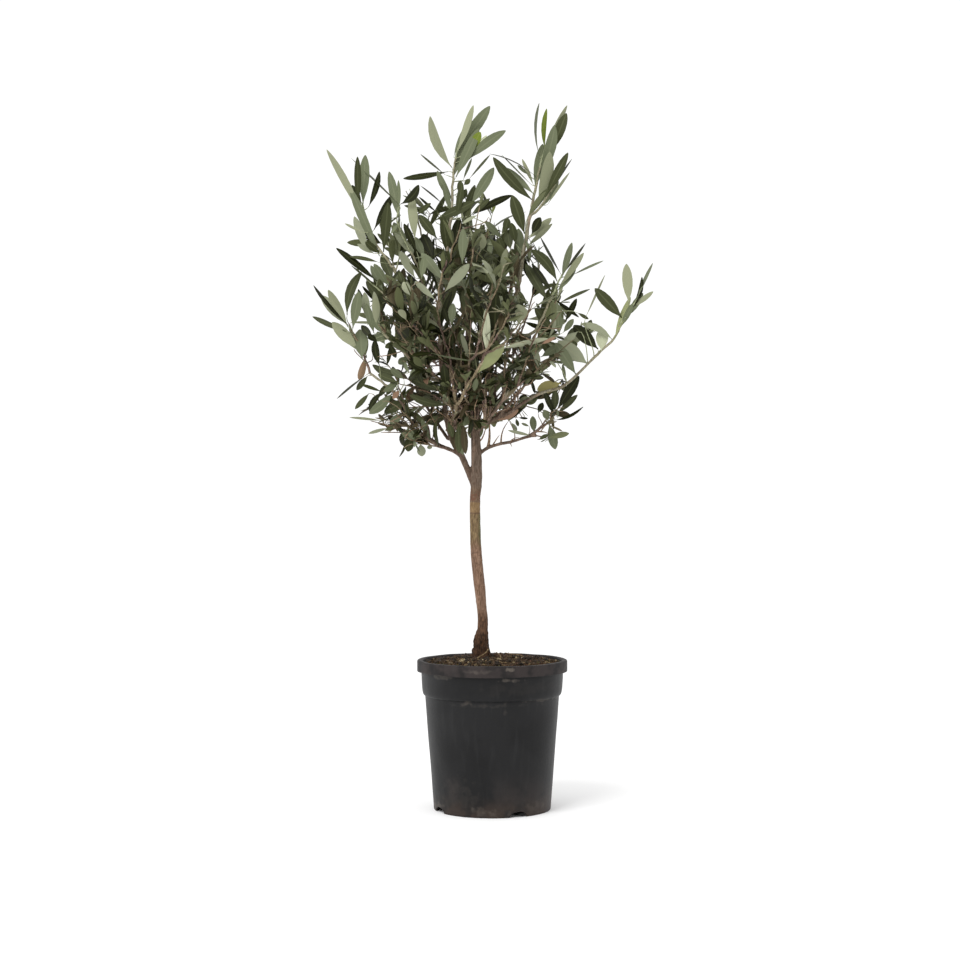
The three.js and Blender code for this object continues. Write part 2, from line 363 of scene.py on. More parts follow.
# %% Slices through a limb
GROWS_FROM = {
    "trunk": None,
    "leader_left": "trunk",
    "fork_left": "trunk",
    "stem_right": "trunk",
    "bough_left_low": "leader_left",
    "bough_right_low": "trunk",
    "bough_right_long": "trunk",
    "bough_front": "leader_left",
    "bough_front_right": "trunk",
    "bough_back": "trunk",
    "bough_back_left": "leader_left",
}
FOOT_CORNERS = 6  # corners of a solid that give the middle of its foot
END_CORNERS = 7  # and of its far end
STEM_SLICES = np.linspace(0.004, 0.996, 26)
BOUGH_SLICES = np.linspace(0.12, 0.97, 9)


def unit(vector):
    return vector / np.linalg.norm(vector)


def line_ways(line):
    """The way that a line runs at each of its points."""
    ways = np.gradient(line, axis=0)
    return ways / np.maximum(np.linalg.norm(ways, axis=1)[:, None], 1e-9)


def node_arrays(node):
    mesh = frame["nodes"][node].data
    places = np.empty(len(mesh.vertices) * 3)
    mesh.vertices.foreach_get("co", places)
    edges = np.empty(len(mesh.edges) * 2, dtype=int)
    mesh.edges.foreach_get("vertices", edges)
    return places.reshape(-1, 3), edges.reshape(-1, 2)


def cut_points(places, edges, point, normal):
    """Where a plane crosses a solid's edges."""
    side = (places - point) @ normal
    one, other = side[edges[:, 0]], side[edges[:, 1]]
    crossing = (one < 0) != (other < 0)
    share = (one / np.where(one == other, 1, one - other))[crossing][:, None]
    ends = edges[crossing]
    return places[ends[:, 0]] * (1 - share) + places[ends[:, 1]] * share


def far_from(point, places):
    return np.linalg.norm(places - point, axis=1)


def follow_limb(node, foot, shares):
    """Middle points and radii of a limb at shares of the way from its foot to its far end."""
    places, edges = node_arrays(node)
    near = places[np.argsort(far_from(foot, places))[:FOOT_CORNERS]].mean(0)
    far = places[np.argsort(-far_from(near, places))[:END_CORNERS]].mean(0)
    normal = unit(far - near)
    rings = [cut_points(places, edges, near + (far - near) * s, normal) for s in shares]
    middles = np.array([ring.mean(0) for ring in rings])
    radii = []
    for ring, middle, way in zip(rings, middles, line_ways(middles)):
        across = ring - middle
        across -= np.outer(across @ way, way)
        radii.append(np.linalg.norm(across, axis=1).mean())
    return middles, np.array(radii)


print("slices of the stem:", len(STEM_SLICES), "of a bough:", len(BOUGH_SLICES))

# %% Limbs read off the frame
limbs = {}
for name, parent in GROWS_FROM.items():
    if parent is None:
        low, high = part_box(name)
        foot = np.array([(low.x + high.x) / 2, 0, low.z])
        limbs[name] = follow_limb(name, foot, STEM_SLICES)
        continue
    places, _ = node_arrays(name)
    line, _ = limbs[parent]
    joint = np.argmin([far_from(point, places).min() for point in line])
    middles, radii = follow_limb(name, line[joint], BOUGH_SLICES)
    start = line[far_from(middles[0], line).argmin()]
    limbs[name] = np.vstack([start, middles]), np.concatenate([[radii[0]], radii])
print("limbs:", {name: round(float(radii[0] / MM), 1) for name, (_, radii) in limbs.items()})

# %% Boughs led out of the stem
# The solids are plain where they join. Real wood leaves its parent at a slant, lower down. Each row
# gives a limb's new first points in mm, and how many of the points read off its solid they replace.
LED_OUT = {
    "leader_left": (5, [
        (-22, 0, 404), (-25, 0, 414), (-29.5, 0, 425), (-34, 0, 436), (-38.5, 0, 446), (-43, 0, 456),
    ]),
    "bough_left_low": (4, [
        (-37, 0, 443), (-42, 0, 448), (-48, -1, 452), (-56, -1, 456), (-64, -2, 459),
    ]),
    "bough_right_low": (9, [
        (-19, 0, 446), (-14, 0, 451), (-9, -1, 455), (-4, -1, 458), (4, -2, 460), (12, -2, 462.5),
        (21, -3, 463.5), (30, -3, 466), (40, -4, 469.5), (50, -4, 472),
    ]),
    "bough_right_long": (7, [
        (-21, 0, 482), (-10, -5, 487), (2, -10, 493), (12, -13, 497), (22, -16, 501), (30, -18, 507),
        (40, -20, 514), (50, -22, 520), (60, -23, 525), (72, -24, 528.5), (86, -25, 531.5),
    ]),
}
SWELLING = 0.3  # how much thicker the stem is where it forks
SWELLING_SHIFT = 1.3 * MM  # and how far that moves it right
SWELLING_AT = [(394, 0), (412, 1), (446, 1), (474, 0.3), (500, 0)]  # height in mm, share
for name, (replaced, points) in LED_OUT.items():
    line, girths = limbs[name]
    line = np.vstack([np.array(points) * MM, line[replaced:]])
    shares = np.linspace(0, 1, len(line))
    limbs[name] = line, np.interp(shares, np.linspace(0, 1, len(girths)), girths)
line, girths = limbs["trunk"]
swelling = np.interp(line[:, 2] / MM, *zip(*SWELLING_AT))
line[:, 0] += swelling * SWELLING_SHIFT
limbs["trunk"] = line, girths * (1 + swelling * SWELLING)
print("led out:", list(LED_OUT))

# %% [markdown]
# ## How the crown grows
#
# An olive's crown is a nest of thin shoots. Each mass of the frame gets one leading shoot, which
# leaves the handiest bough, enters the mass at its foot and runs on to its tip. Side shoots fill
# the mass after that: each grows from the nearest wood that already points its way, and bends up
# towards the light. Growing them in that order, from the inside out, gives every shoot a parent.


# %% A shoot and its line
SPACING = 6 * MM  # between the points of a line
ARC_POINTS = 14
UP = np.array([0.0, 0.0, 1.0])


def line_marks(line):
    """How far along the line each of its points lies."""
    steps = np.linalg.norm(np.diff(line, axis=0), axis=1)
    return np.concatenate([[0], np.cumsum(steps)])


def read_line(line, wanted):
    """The points of a line at the wanted lengths along it."""
    marks = line_marks(line)
    return np.column_stack([np.interp(wanted, marks, line[:, axis]) for axis in range(3)])


def even_line(line):
    length = line_marks(line)[-1]
    return read_line(line, np.linspace(0, length, max(3, round(length / SPACING) + 1)))


def arc(start, end, start_way, end_way, bend=0.8):
    """A smooth line that leaves start along start_way and arrives at end along end_way."""
    reach = np.linalg.norm(end - start) * bend
    t = np.linspace(0, 1, ARC_POINTS)[:, None]
    return (
        (2 * t**3 - 3 * t**2 + 1) * start
        + (t**3 - 2 * t**2 + t) * reach * start_way
        + (3 * t**2 - 2 * t**3) * end
        + (t**3 - t**2) * reach * end_way
    )


class Shoot:
    """A limb, leading shoot, side shoot, bare twig or stalk: a line that leaves its parent."""

    def __init__(self, line, parent, joint, kind, mass, radii=None, stout=0):
        self.line = line
        self.ways = line_ways(line)
        self.length = line_marks(line)[-1]
        self.parent = parent
        self.joint = joint
        self.kind = kind
        self.mass = mass  # of foliage, or a limb's own name
        self.radii = radii
        self.stout = stout  # least radius at its foot


shoots = []
for name, (middles, girths) in limbs.items():
    line = even_line(middles)
    radii = np.interp(line_marks(line), line_marks(middles), girths)
    shoots.append(Shoot(line, None, 0, "limb", name, radii))
print("limbs to grow from:", len(shoots))

# %% [markdown]
# The masses come next: where each one starts, where it ends, and whether a point is inside it. A
# mass's tip is its farthest point from the heart of the crown, and its foot the farthest from that.

# %% Reading the masses
CROWN_HEART = np.array([-20, 0, 560]) * MM
LITRES = 1000  # in a cubic metre
NEAR = 30 * MM  # masses farther than this from a point aren't asked about it
MASS = "foliage_"  # how the name of every mass begins
masses = {}
for name in [name for name in frame["nodes"] if name.startswith(MASS)]:
    places, _ = node_arrays(name)
    faces = [tuple(face.vertices) for face in frame["nodes"][name].data.polygons]
    tree = BVHTree.FromPolygons(places.tolist(), faces)
    tip = places[far_from(CROWN_HEART, places).argmax()]
    foot = places[far_from(tip, places).argmax()]
    one, two, three = np.moveaxis(places[faces], 1, 0)
    six_volumes = (one * np.cross(two, three)).sum()
    masses[name] = {
        "tree": tree, "tip": tip, "foot": foot, "low": places.min(0), "high": places.max(0),
        "litres": abs(six_volumes) / 6 * LITRES,
    }


def short(name):
    """A mass's name without its beginning."""
    return name.removeprefix(MASS)


def depth_in(name, point):
    """How deep a point lies in a mass: negative outside it."""
    place, normal, _, gap = masses[name]["tree"].find_nearest(Vector(point))
    return gap if (Vector(point) - place).dot(normal) < 0 else -gap


def room_at(point):
    """How deep a point lies in the masses that are near it, or how far outside them all."""
    best = -math.inf
    for name, mass in masses.items():
        if np.all(point > mass["low"] - NEAR) and np.all(point < mass["high"] + NEAR):
            best = max(best, depth_in(name, point))
    return best


print("litres:", {short(n): round(m["litres"], 2) for n, m in masses.items()})
print("together", round(sum(m["litres"] for m in masses.values()), 2))

# %% [markdown]
# The sprays aren't all alike. At the top and sides they are young, long-leaved and open, with the
# biggest and palest leaves. The body is closer and darker. Low down and inside, the leaves are short
# and dark, they hang a little, and many twigs have lost theirs. So each mass has a habit, and each
# shoot a vigour, which rises with its distance from a point low in the crown.

# %% Habits of the sprays
HABITS = {
    "crest": {
        "leaf": 61, "narrow": 0.23, "gap": 19, "crowd": 7, "bare": 0.15, "lost": 0.08, "lift": 0.3,
        "paints": {"grey": 0.25, "pale": 0.06, "mid": 0.41, "dark": 0.28},
    },
    "outer": {
        "leaf": 55, "narrow": 0.24, "gap": 16, "crowd": 13, "bare": 0.2, "lost": 0.1, "lift": 0.3,
        "paints": {"grey": 0.16, "pale": 0.03, "mid": 0.41, "dark": 0.4},
    },
    "body": {
        "leaf": 50, "narrow": 0.25, "gap": 15, "crowd": 20, "bare": 0.25, "lost": 0.1, "lift": 0.35,
        "paints": {"grey": 0.07, "pale": 0.02, "mid": 0.32, "dark": 0.44, "umber": 0.15},
    },
    "low": {
        "leaf": 42, "narrow": 0.26, "gap": 13, "crowd": 30, "bare": 0.25, "lost": 0.15, "lift": 0.2,
        "paints": {"grey": 0.06, "mid": 0.24, "dark": 0.35, "umber": 0.35},
    },
}
WEAK = {"leaf": 33, "narrow": 0.31, "gap": 12, "lift": -0.15}  # where a shoot has no vigour
FLATTER = (0.85, 0.85, 1)  # vigour rises more slowly to the sides than upwards
WEAK_HEART = np.array([-20, 0, 500]) * MM
WEAK_TO_STRONG = (90, 185)  # millimetres from there


def vigour(point):
    away = np.linalg.norm((point - WEAK_HEART) * FLATTER) / MM
    share = np.interp(away, WEAK_TO_STRONG, (0, 1))
    return share * share * (3 - 2 * share)


MASS_HABITS = {
    "crest": ["top_centre", "top_right", "right_far", "right_high", "left_far", "back_far"],
    "outer": ["top_left", "left_high", "front_high", "back_high", "inner_top_left", "right_mid"],
    "body": [
        "heart_high", "body_left", "body_right", "front_left", "front_right", "front_far",
        "back_left", "back_right",
    ],
    "low": [
        "heart_low", "left_low", "body_low_left", "body_low_right", "front_low", "back_low",
        "right_low", "left_tuft",
    ],
}
habit_of = {MASS + n: habit for habit, names in MASS_HABITS.items() for n in names}
assert set(habit_of) == set(masses)
print("habits:", {habit: len(names) for habit, names in MASS_HABITS.items()})

# %% Routes of the leading shoots
# The leading shoots that carry a limb on, or that show: the limb they leave, how thick they start,
# and the points they pass. A route of several points ends at the last of them. All in mm.
ROUTES = {
    "top_right": ("trunk", 5.3, [
        (-12, 1, 525), (6, 0, 590), (30, 0, 646), (37, -3, 690), (45, -6, 735), (52, -7, 768),
        (57, -7, 798), (67, -8, 840),
    ]),
    "top_centre": ("leader_left", 3.4, [
        (-64, 0, 560), (-66, -2, 635), (-58, -2, 700), (-51, -2, 760), (-50, -2, 800),
        (-46, -2, 828), (-39, -2, 852),
    ]),
    "right_far": ("bough_right_long", 1.9, [
        (138, -19, 580), (152, -19, 592), (159, -18, 606), (168, -16, 625), (182, -15, 644),
    ]),
    "right_high": (None, 1.9, [
        (50, -22, 600), (70, -24, 636), (79, -24, 656), (89, -24, 677), (93, -24, 686),
    ]),
    "left_far": (None, 2.4, [
        (-80, -14, 545), (-112, -16, 578), (-138, -17, 602), (-152, -17, 620), (-157, -17, 632),
    ]),
    "top_left": (None, 1.9, [
        (-104, -10, 650), (-130, -12, 690), (-146, -12, 712), (-160, -12, 750), (-166, -12, 768),
    ]),
    "left_low": ("bough_left_low", 1.8, [
        (-104, -6, 492), (-119, -8, 520), (-134, -8, 536), (-153, -8, 550), (-164, -8, 576),
        (-178, -8, 606), (-184, -8, 616),
    ]),
    "left_tuft": ("bough_left_low", 1.2, []),
    "right_low": ("bough_right_low", 1.7, [(62, -4, 483), (72, -4, 490), (81, -4, 499)]),
    "body_low_left": ("bough_front", 1.5, []),
    "heart_high": ("fork_left", 2.4, [(-38, 6, 560)]),
    "back_left": ("bough_back_left", 1.7, []),
    "back_low": ("bough_back", 1.9, []),
    "front_right": ("bough_front_right", 1.8, []),
    "front_low": ("bough_front", 1.6, []),
    "front_far": ("bough_front", 1.7, [
        (-41, -58, 512), (-32, -74, 530), (-20, -88, 548), (-8, -96, 572), (-5, -98, 584),
    ]),
    "front_high": (None, 1.8, [
        (-52, -46, 566), (-62, -66, 597), (-68, -78, 622), (-65, -84, 650), (-62, -88, 672),
    ]),
    "front_left": (None, 1.6, [(-70, -50, 560), (-92, -84, 610), (-100, -98, 650)]),
}
ROUTES = {MASS + name: route for name, route in ROUTES.items()}
print("routes:", len(ROUTES))

# %% Growing a shoot
TURN_COST = 0.8  # a joint costs its distance from the goal, and more if the goal lies aside,
SHORT_COST = 1.4  # or so near that the shoot would be shorter than it should be
SHORTEST = {"leader": (20, 20), "side": (34, 84)}  # range of the least length, in mm
STEM_BARE_TO = 440 * MM  # nothing leaves the stem below this
KINK = 0.5 * MM  # how far the points of a shoot stray


def best_joint(goal, allowed, shortest):
    """The shoot, and the point on it, from which new wood would reach a goal most directly."""
    best = (math.inf, None, None)
    for number in allowed:
        shoot = shoots[number]
        reach = goal - shoot.line
        gap = np.maximum(np.linalg.norm(reach, axis=1), 1e-6)
        ahead = (reach * shoot.ways).sum(1) / gap
        cost = gap * (1 + TURN_COST * (1 - ahead))
        cost += SHORT_COST * np.maximum(shortest - gap, 0)
        if shoot.mass == "trunk":
            cost[shoot.line[:, 2] < STEM_BARE_TO] = math.inf
        if shoot.kind != "limb":
            cost[:2] = math.inf
        spot = int(cost.argmin())
        if cost[spot] < best[0]:
            best = (cost[spot], number, spot)
    return best[1], best[2]


def grow_to(stops, end_way, kind, mass, allowed, lean=0.5):
    """Grows a shoot through the stops, from the best joint on the allowed shoots."""
    shortest = luck.uniform(*SHORTEST[kind]) * MM
    number, spot = best_joint(stops[0], allowed, shortest)
    parent = shoots[number]
    start = parent.line[spot]
    way = unit(parent.ways[spot] * lean + unit(stops[0] - start))
    parts = []
    for i, stop in enumerate(stops):
        onward = unit(stops[i + 1] - start) if i + 1 < len(stops) else end_way
        parts.append(arc(start, stop, way, onward))
        start, way = stop, onward
    line = even_line(np.vstack(parts))
    kinks = luck.normal(0, KINK, line.shape)
    kinks[:2] = 0
    shoots.append(Shoot(line + kinks, number, spot, kind, mass))


print("ready to grow from", len(shoots), "limbs")


# %% Leading shoots
TIP_SHORT = 34 * MM  # a leading shoot stops this far short of its mass's tip, where leaves go on
FOOT_IN = 12  # and passes a point this many mm inside its mass's foot
LEADER_RISE = 0.25  # how much it turns up at its end


def way_in(name):
    """How far a mass's foot lies from the heart of the crown."""
    return np.linalg.norm(masses[name]["foot"] - CROWN_HEART)


order = list(ROUTES) + sorted(set(masses) - set(ROUTES), key=lambda name: (way_in(name), name))
leaders = {}
for name in order:
    mass = masses[name]
    axis = unit(mass["tip"] - mass["foot"])
    limb, _, passed = ROUTES.get(name, (None, 0, []))
    stops = [np.array(stop) * MM for stop in passed] or [mass["foot"] + axis * FOOT_IN * MM]
    if len(passed) < 2:
        stops.append(mass["tip"] - axis * TIP_SHORT)
    allowed = [i for i, shoot in enumerate(shoots) if shoot.kind in ("limb", "leader")]
    if limb:
        allowed = [i for i in allowed if shoots[i].mass == limb]
    leaders[name] = len(shoots)
    grow_to(stops, unit(axis + UP * LEADER_RISE), "leader", name, allowed)
starts = {short(name): shoots[shoots[i].parent].mass for name, i in leaders.items()}
print("leading shoots:", len(leaders), "from", starts)

# %% [markdown]
# Side shoots are aimed at points scattered through each mass, each point the farthest of a handful
# of tries from all the wood that is already there. That keeps the spray evenly open.

# %% Side shoots
SHOOT_MARGIN = 9 * MM
# The outer part of these masses is set leaf by leaf further on: the share that is left to chance.
LEFT_TO_CHANCE = {
    "top_centre": 0.25, "top_right": 0.25, "top_left": 0.4, "right_far": 0, "right_high": 0,
    "left_far": 0.45, "left_low": 0.55, "right_low": 0.5, "left_high": 0.5, "inner_top_left": 0.45,
}
# And these are kept short, so that they don't close the crown.
KEPT_SHORT = {
    "heart_high": 0.62, "back_high": 0.5, "back_right": 0.5, "body_right": 0.85, "right_mid": 0.65,
}
GOAL_TRIES = 14
SIDE_LEAN = 0.7  # how much a side shoot leaves along its parent's own way
SIDE_RISE, VIGOUR_RISE = 0.15, 0.35  # how much every one turns up at its end, and a strong one more
SIDE_WANDER = 0.2


def scattered(name, count, taken, inner):
    """Points inside a mass, spread out from each other and from the points already taken."""
    mass = masses[name]
    whole = mass["tip"] - mass["foot"]
    found = []
    while len(found) < count:
        options = []
        while len(options) < GOAL_TRIES:
            point = luck.uniform(mass["low"], mass["high"])
            along = (point - mass["foot"]) @ whole / (whole @ whole)
            if along < inner and depth_in(name, point) > SHOOT_MARGIN:
                options.append(point)
        gaps = [far_from(option, np.array(taken + found)).min() for option in options]
        found.append(options[int(np.argmax(gaps))])
    return found


for name in order:
    habit = HABITS[habit_of[name]]
    mass = masses[name]
    inner = (LEFT_TO_CHANCE | KEPT_SHORT).get(short(name), 1)
    count = round(mass["litres"] * habit["crowd"] * inner)
    taken = [point for shoot in shoots if shoot.mass == name for point in shoot.line[::2]]
    goals = scattered(name, count, taken, inner)
    goals.sort(key=lambda goal: np.linalg.norm(goal - mass["foot"]))
    axis = unit(mass["tip"] - mass["foot"])
    for goal in goals:
        own = [i for i, shoot in enumerate(shoots) if shoot.mass == name or shoot.kind != "side"]
        out = unit(goal - CROWN_HEART)
        rise = UP * (SIDE_RISE + VIGOUR_RISE * vigour(goal))
        end_way = unit(out * 0.5 + axis * 0.5 + rise + luck.normal(0, SIDE_WANDER, 3))
        grow_to([goal], end_way, "side", name, own, lean=SIDE_LEAN)
lengths = np.array([shoot.length for shoot in shoots if shoot.kind == "side"])
print("side shoots:", len(lengths), "length", (np.percentile(lengths, [5, 50, 95]) / MM).round())

# %% [markdown]
# Short twigs stand bare among the leaves, reddish inside and low down. The few in plain sight are
# set one by one; the rest are scattered, on the boughs as well.

# %% Twigs in plain sight
SET_TWIGS = [  # radius at the foot, then the points passed, all in mm
    (2.1, [(-4, -1, 458), (-3, -3, 470), (-4, -5, 484), (-2, -8, 500)]),
    (1.3, [(-16, 0, 457), (-12, -3, 468), (-9, -4, 480), (-5, -5, 490)]),
    (1.1, [(0, -2, 460), (4, -6, 466), (9, -9, 473)]),
    (1.3, [(12, -2, 463), (11, -3, 472), (14, -4, 482), (20, -6, 490)]),
    (1.1, [(15, -3, 463), (22, -5, 466), (29, -7, 470), (34, -8, 470)]),
    (0.6, [(31, -7, 469), (29, -5, 478), (23, -4, 486), (21, -4, 493)]),
    (0.9, [(20, -3, 463), (23, -4, 461), (25, -5, 458)]),
    (1.0, [(52, -4, 472), (60, -6, 476), (66, -7, 479), (72, -8, 474)]),
    (0.8, [(50, -4, 472), (60, -2, 471), (71, -1, 470)]),
    (1.4, [(-34, 0, 440), (-29, -3, 447), (-22, -2, 450)]),
    (0.8, [(-119, -40, 580), (-127, -38, 572), (-136, -36, 571), (-144, -34, 570)]),
    (1.5, [(-50, 1, 464), (-55, -8, 478), (-50, -14, 492), (-56, -18, 508)]),
    (1.1, [(-66, -2, 458), (-72, -6, 472), (-70, -8, 486), (-78, -10, 498)]),
    (1.0, [(-80, -2, 466), (-88, -6, 478), (-86, -8, 494), (-96, -10, 506)]),
    (1.0, [(20, -16, 500), (26, -20, 512), (22, -22, 524), (28, -24, 536)]),
    (1.1, [(40, -20, 514), (34, -26, 526), (24, -28, 540)]),
    (1.0, [(58, -23, 524), (50, -28, 536), (52, -30, 550), (44, -32, 562)]),
    (1.2, [(-14, 0, 486), (-10, -14, 500), (-16, -22, 516), (-8, -28, 532)]),
    (1.6, [(-100, -50, 574), (-97, -58, 584), (-94, -64, 604), (-91, -68, 626)]),
    (1.2, [(-98, -56, 579), (-108, -58, 584), (-120, -60, 592)]),
    (1.3, [(-68, -66, 606), (-78, -68, 616), (-90, -70, 623)]),
    (1.2, [(-126, -16, 590), (-134, -30, 600), (-143, -36, 611)]),
    (1.9, [(47, -8, 742), (54, -8, 752), (62, -9, 763), (71, -10, 776), (80, -10, 789)]),
]
ON_LIMBS = "foliage_heart_low"  # the mass that the bare twigs of the limbs belong to
SOFTEN = 0.3  # how far each point of a set twig moves towards the line between its neighbours
able = range(len(shoots))
for radius, points in SET_TWIGS:
    points = np.array(points) * MM
    number, spot = best_joint(points[1], able, 0)
    line = even_line(np.vstack([shoots[number].line[spot], points[1:]]))
    line[1:-1] += (line[:-2] + line[2:] - 2 * line[1:-1]) * SOFTEN
    mass = shoots[number].mass if shoots[number].mass in masses else ON_LIMBS
    shoots.append(Shoot(line, number, spot, "bare", mass, stout=radius * MM))
print("set twigs:", len(SET_TWIGS))

# %% Bare twigs
BARE_PER_LITRE = {"low": 60, "body": 24, "outer": 5, "crest": 0}
BARE_REACH = (12, 38)
BARE_OUT = 2 * MM  # how far a bare twig may pass the masses
BARE_ON_LIMBS = 45
BARE_FROM = 456 * MM  # none on a limb below this
BARE_TO = 90 * MM  # nor farther to the right
BARE_RISE = 0.15  # and none that rises less than this


def grow_bare(parent, spot, mass, lean, rise, wander, bend):
    """Grows a bare twig from a point on its parent, unless it would end in a bad place."""
    start = parent.line[spot]
    way = unit(parent.ways[spot] * lean + unit(luck.normal(0, 1, 3)) + UP * rise)
    goal = start + way * luck.uniform(*BARE_REACH) * MM
    fits = way[2] >= BARE_RISE if parent.kind == "limb" else room_at(goal) >= -BARE_OUT
    if fits:
        line = even_line(arc(start, goal, way, unit(way + luck.normal(0, wander, 3)), bend))
        shoots.append(Shoot(line, shoots.index(parent), spot, "bare", mass))


able = [s for s in shoots if s.kind == "limb" and s.mass != "bough_right_low"]
for _ in range(BARE_ON_LIMBS):
    parent = luck.choice(able)
    spot = int(luck.integers(1, len(parent.line) - 1))
    if parent.line[spot][2] >= BARE_FROM and parent.line[spot][0] <= BARE_TO:
        grow_bare(parent, spot, ON_LIMBS, lean=0.4, rise=0.9, wander=0.8, bend=1.5)
for name in order:
    own = [shoot for shoot in shoots if shoot.mass == name]
    for _ in range(round(masses[name]["litres"] * BARE_PER_LITRE[habit_of[name]])):
        parent = luck.choice(own)
        spot = int(luck.integers(1, len(parent.line) - 1))
        grow_bare(parent, spot, name, lean=0.6, rise=0, wander=0.9, bend=1.7)
print("bare twigs:", sum(shoot.kind == "bare" for shoot in shoots))

# %% [markdown]
# ## Sprays set one by one
#
# A crown is known by its outline: the leaves that stand out against the sky, and the few that lie on
# top at the front. Chance never deals those right, so they are set one by one, as in a bouquet. Each
# row gives where a leaf leaves its twig and where its tip points, as seen square from the front, how
# wide it looks and its paint. A row may go on with the side that shows, if it isn't the leaf's face,
# and how far the leaf bows to the left of its own way. A leaf that looks narrow is simply turned on
# edge. How far each leans back or forward is left to luck.

# %% Leaves set at the top
FACE, BACK = 1, -1
HAND_SET = {}  # foot x and z, tip x and z, width as seen, paint, then side and bow if need be
HAND_SET["top_centre"] = [
    (-51, 812, -79, 877, 11, "pale", BACK, 0.08), (-50, 799, -24, 872, 15, "grey"),
    (-42, 835, -3, 890, 13, "grey"), (-44, 832, -24, 891, 8, "pale", BACK),
    (-49, 825, -35, 864, 4, "grey"), (-30, 822, 17, 859, 11, "grey", FACE, 0.04),
    (-28, 829, -7, 853, 5, "silver"), (-30, 830, -15, 857, 11, "fresh"),
    (-37, 796, -26, 824, 3, "grey"), (-30, 797, -3, 828, 2, "mid"),
    (-60, 803, -91, 829, 3, "mid"), (-50, 770, -70, 808, 8, "grey", FACE, 0.04),
    (-56, 807, -113, 798, 6, "mid"), (-46, 800, -17, 862, 12, "grey"),
    (-27, 765, 2, 812, 12, "grey"), (-27, 752, -3, 773, 6, "mid"),
    (-25, 752, 25, 777, 8, "dark", FACE, 0.03), (-43, 780, -40, 796, 6, "mid"),
    (-36, 790, -28, 797, 6, "mid"), (-38, 770, -33, 785, 6, "mid"),
    (-63, 766, -91, 789, 2, "dark"), (-70, 755, -93, 775, 2.5, "dark"),
    (-70, 722, -93, 752, 11, "mid"), (-96, 752, -78, 767, 6, "mid"),
    (-73, 745, -22, 769, 11, "mid"), (-56, 700, -63, 752, 11, "mid"),
    (-52, 755, -62, 792, 7, "grey"), (-45, 748, -38, 793, 8, "mid"),
    (-36, 748, -22, 790, 9, "mid"), (-50, 700, -42, 749, 13, "dark"),
    (-75, 698, -88, 728, 12, "dark"),
]
HAND_SET["top_right"] = [
    (60, 826, 59, 895, 2.5, "grey", FACE, 0.09), (67, 835, 69, 887, 6, "fresh", FACE, 0.07),
    (68, 840, 95, 891, 6, "pale", BACK), (75, 832, 94, 881, 12, "mid"),
    (54, 785, 64, 842, 12, "grey"), (60, 800, 79, 866, 13, "grey", FACE, -0.04),
    (57, 768, 73, 832, 14, "grey", BACK, -0.05), (67, 775, 96, 831, 10, "mid"),
    (78, 787, 101, 823, 2, "dark"), (70, 765, 98, 806, 3, "pale", BACK),
    (52, 770, 1, 825, 12, "mid", FACE, 0.04), (53, 778, 18, 812, 8, "grey"),
    (56, 800, -4, 830, 3, "dark", FACE, -0.05), (50, 790, 12, 828, 3, "grey"),
    (52, 790, 38, 823, 5, "pale", BACK), (45, 803, 32, 815, 4, "grey"),
    (50, 728, 61, 749, 10, "dark"), (46, 722, 75, 748, 9, "pale", BACK),
    (44, 712, 76, 741, 6, "grey", BACK), (41, 728, 25, 777, 14, "mid"),
    (16, 730, 20, 748, 9, "mid"), (36, 700, 33, 735, 11, "grey"), (12, 722, -9, 744, 8, "grey"),
    (61, 760, 84, 795, 8, "grey"), (23, 708, 19, 731, 10, "mid"), (15, 704, 7, 723, 9, "mid"),
    (30, 715, 24, 742, 9, "mid"), (14, 716, 29, 738, 8, "mid"), (-1, 702, -7, 722, 9, "grey"),
]
HAND_SET["top_left"] = [
    (-165, 750, -210, 835, 9, "pale", BACK), (-143, 700, -181, 788, 10, "grey"),
    (-170, 765, -171, 826, 8, "mid"), (-164, 765, -161, 828, 12, "grey"),
    (-166, 764, -178, 790, 8, "mid"), (-157, 762, -143, 807, 7, "dark", FACE, -0.04),
    (-118, 765, -178, 824, 4, "mid"), (-117, 745, -131, 807, 10, "grey"),
    (-118, 760, -119, 796, 5, "grey"), (-116, 766, -93, 790, 10, "dark", FACE, -0.12),
    (-98, 720, -103, 780, 11, "pale", BACK), (-150, 733, -126, 778, 9, "dark"),
    (-138, 705, -132, 768, 12, "mid"), (-158, 705, -175, 750, 10, "pale"),
    (-165, 730, -187, 741, 1.5, "pale", BACK), (-142, 703, -161, 718, 8, "mid"),
    (-150, 703, -171, 715, 6, "pale"),
]
print("leaves set:", sum(map(len, HAND_SET.values())))

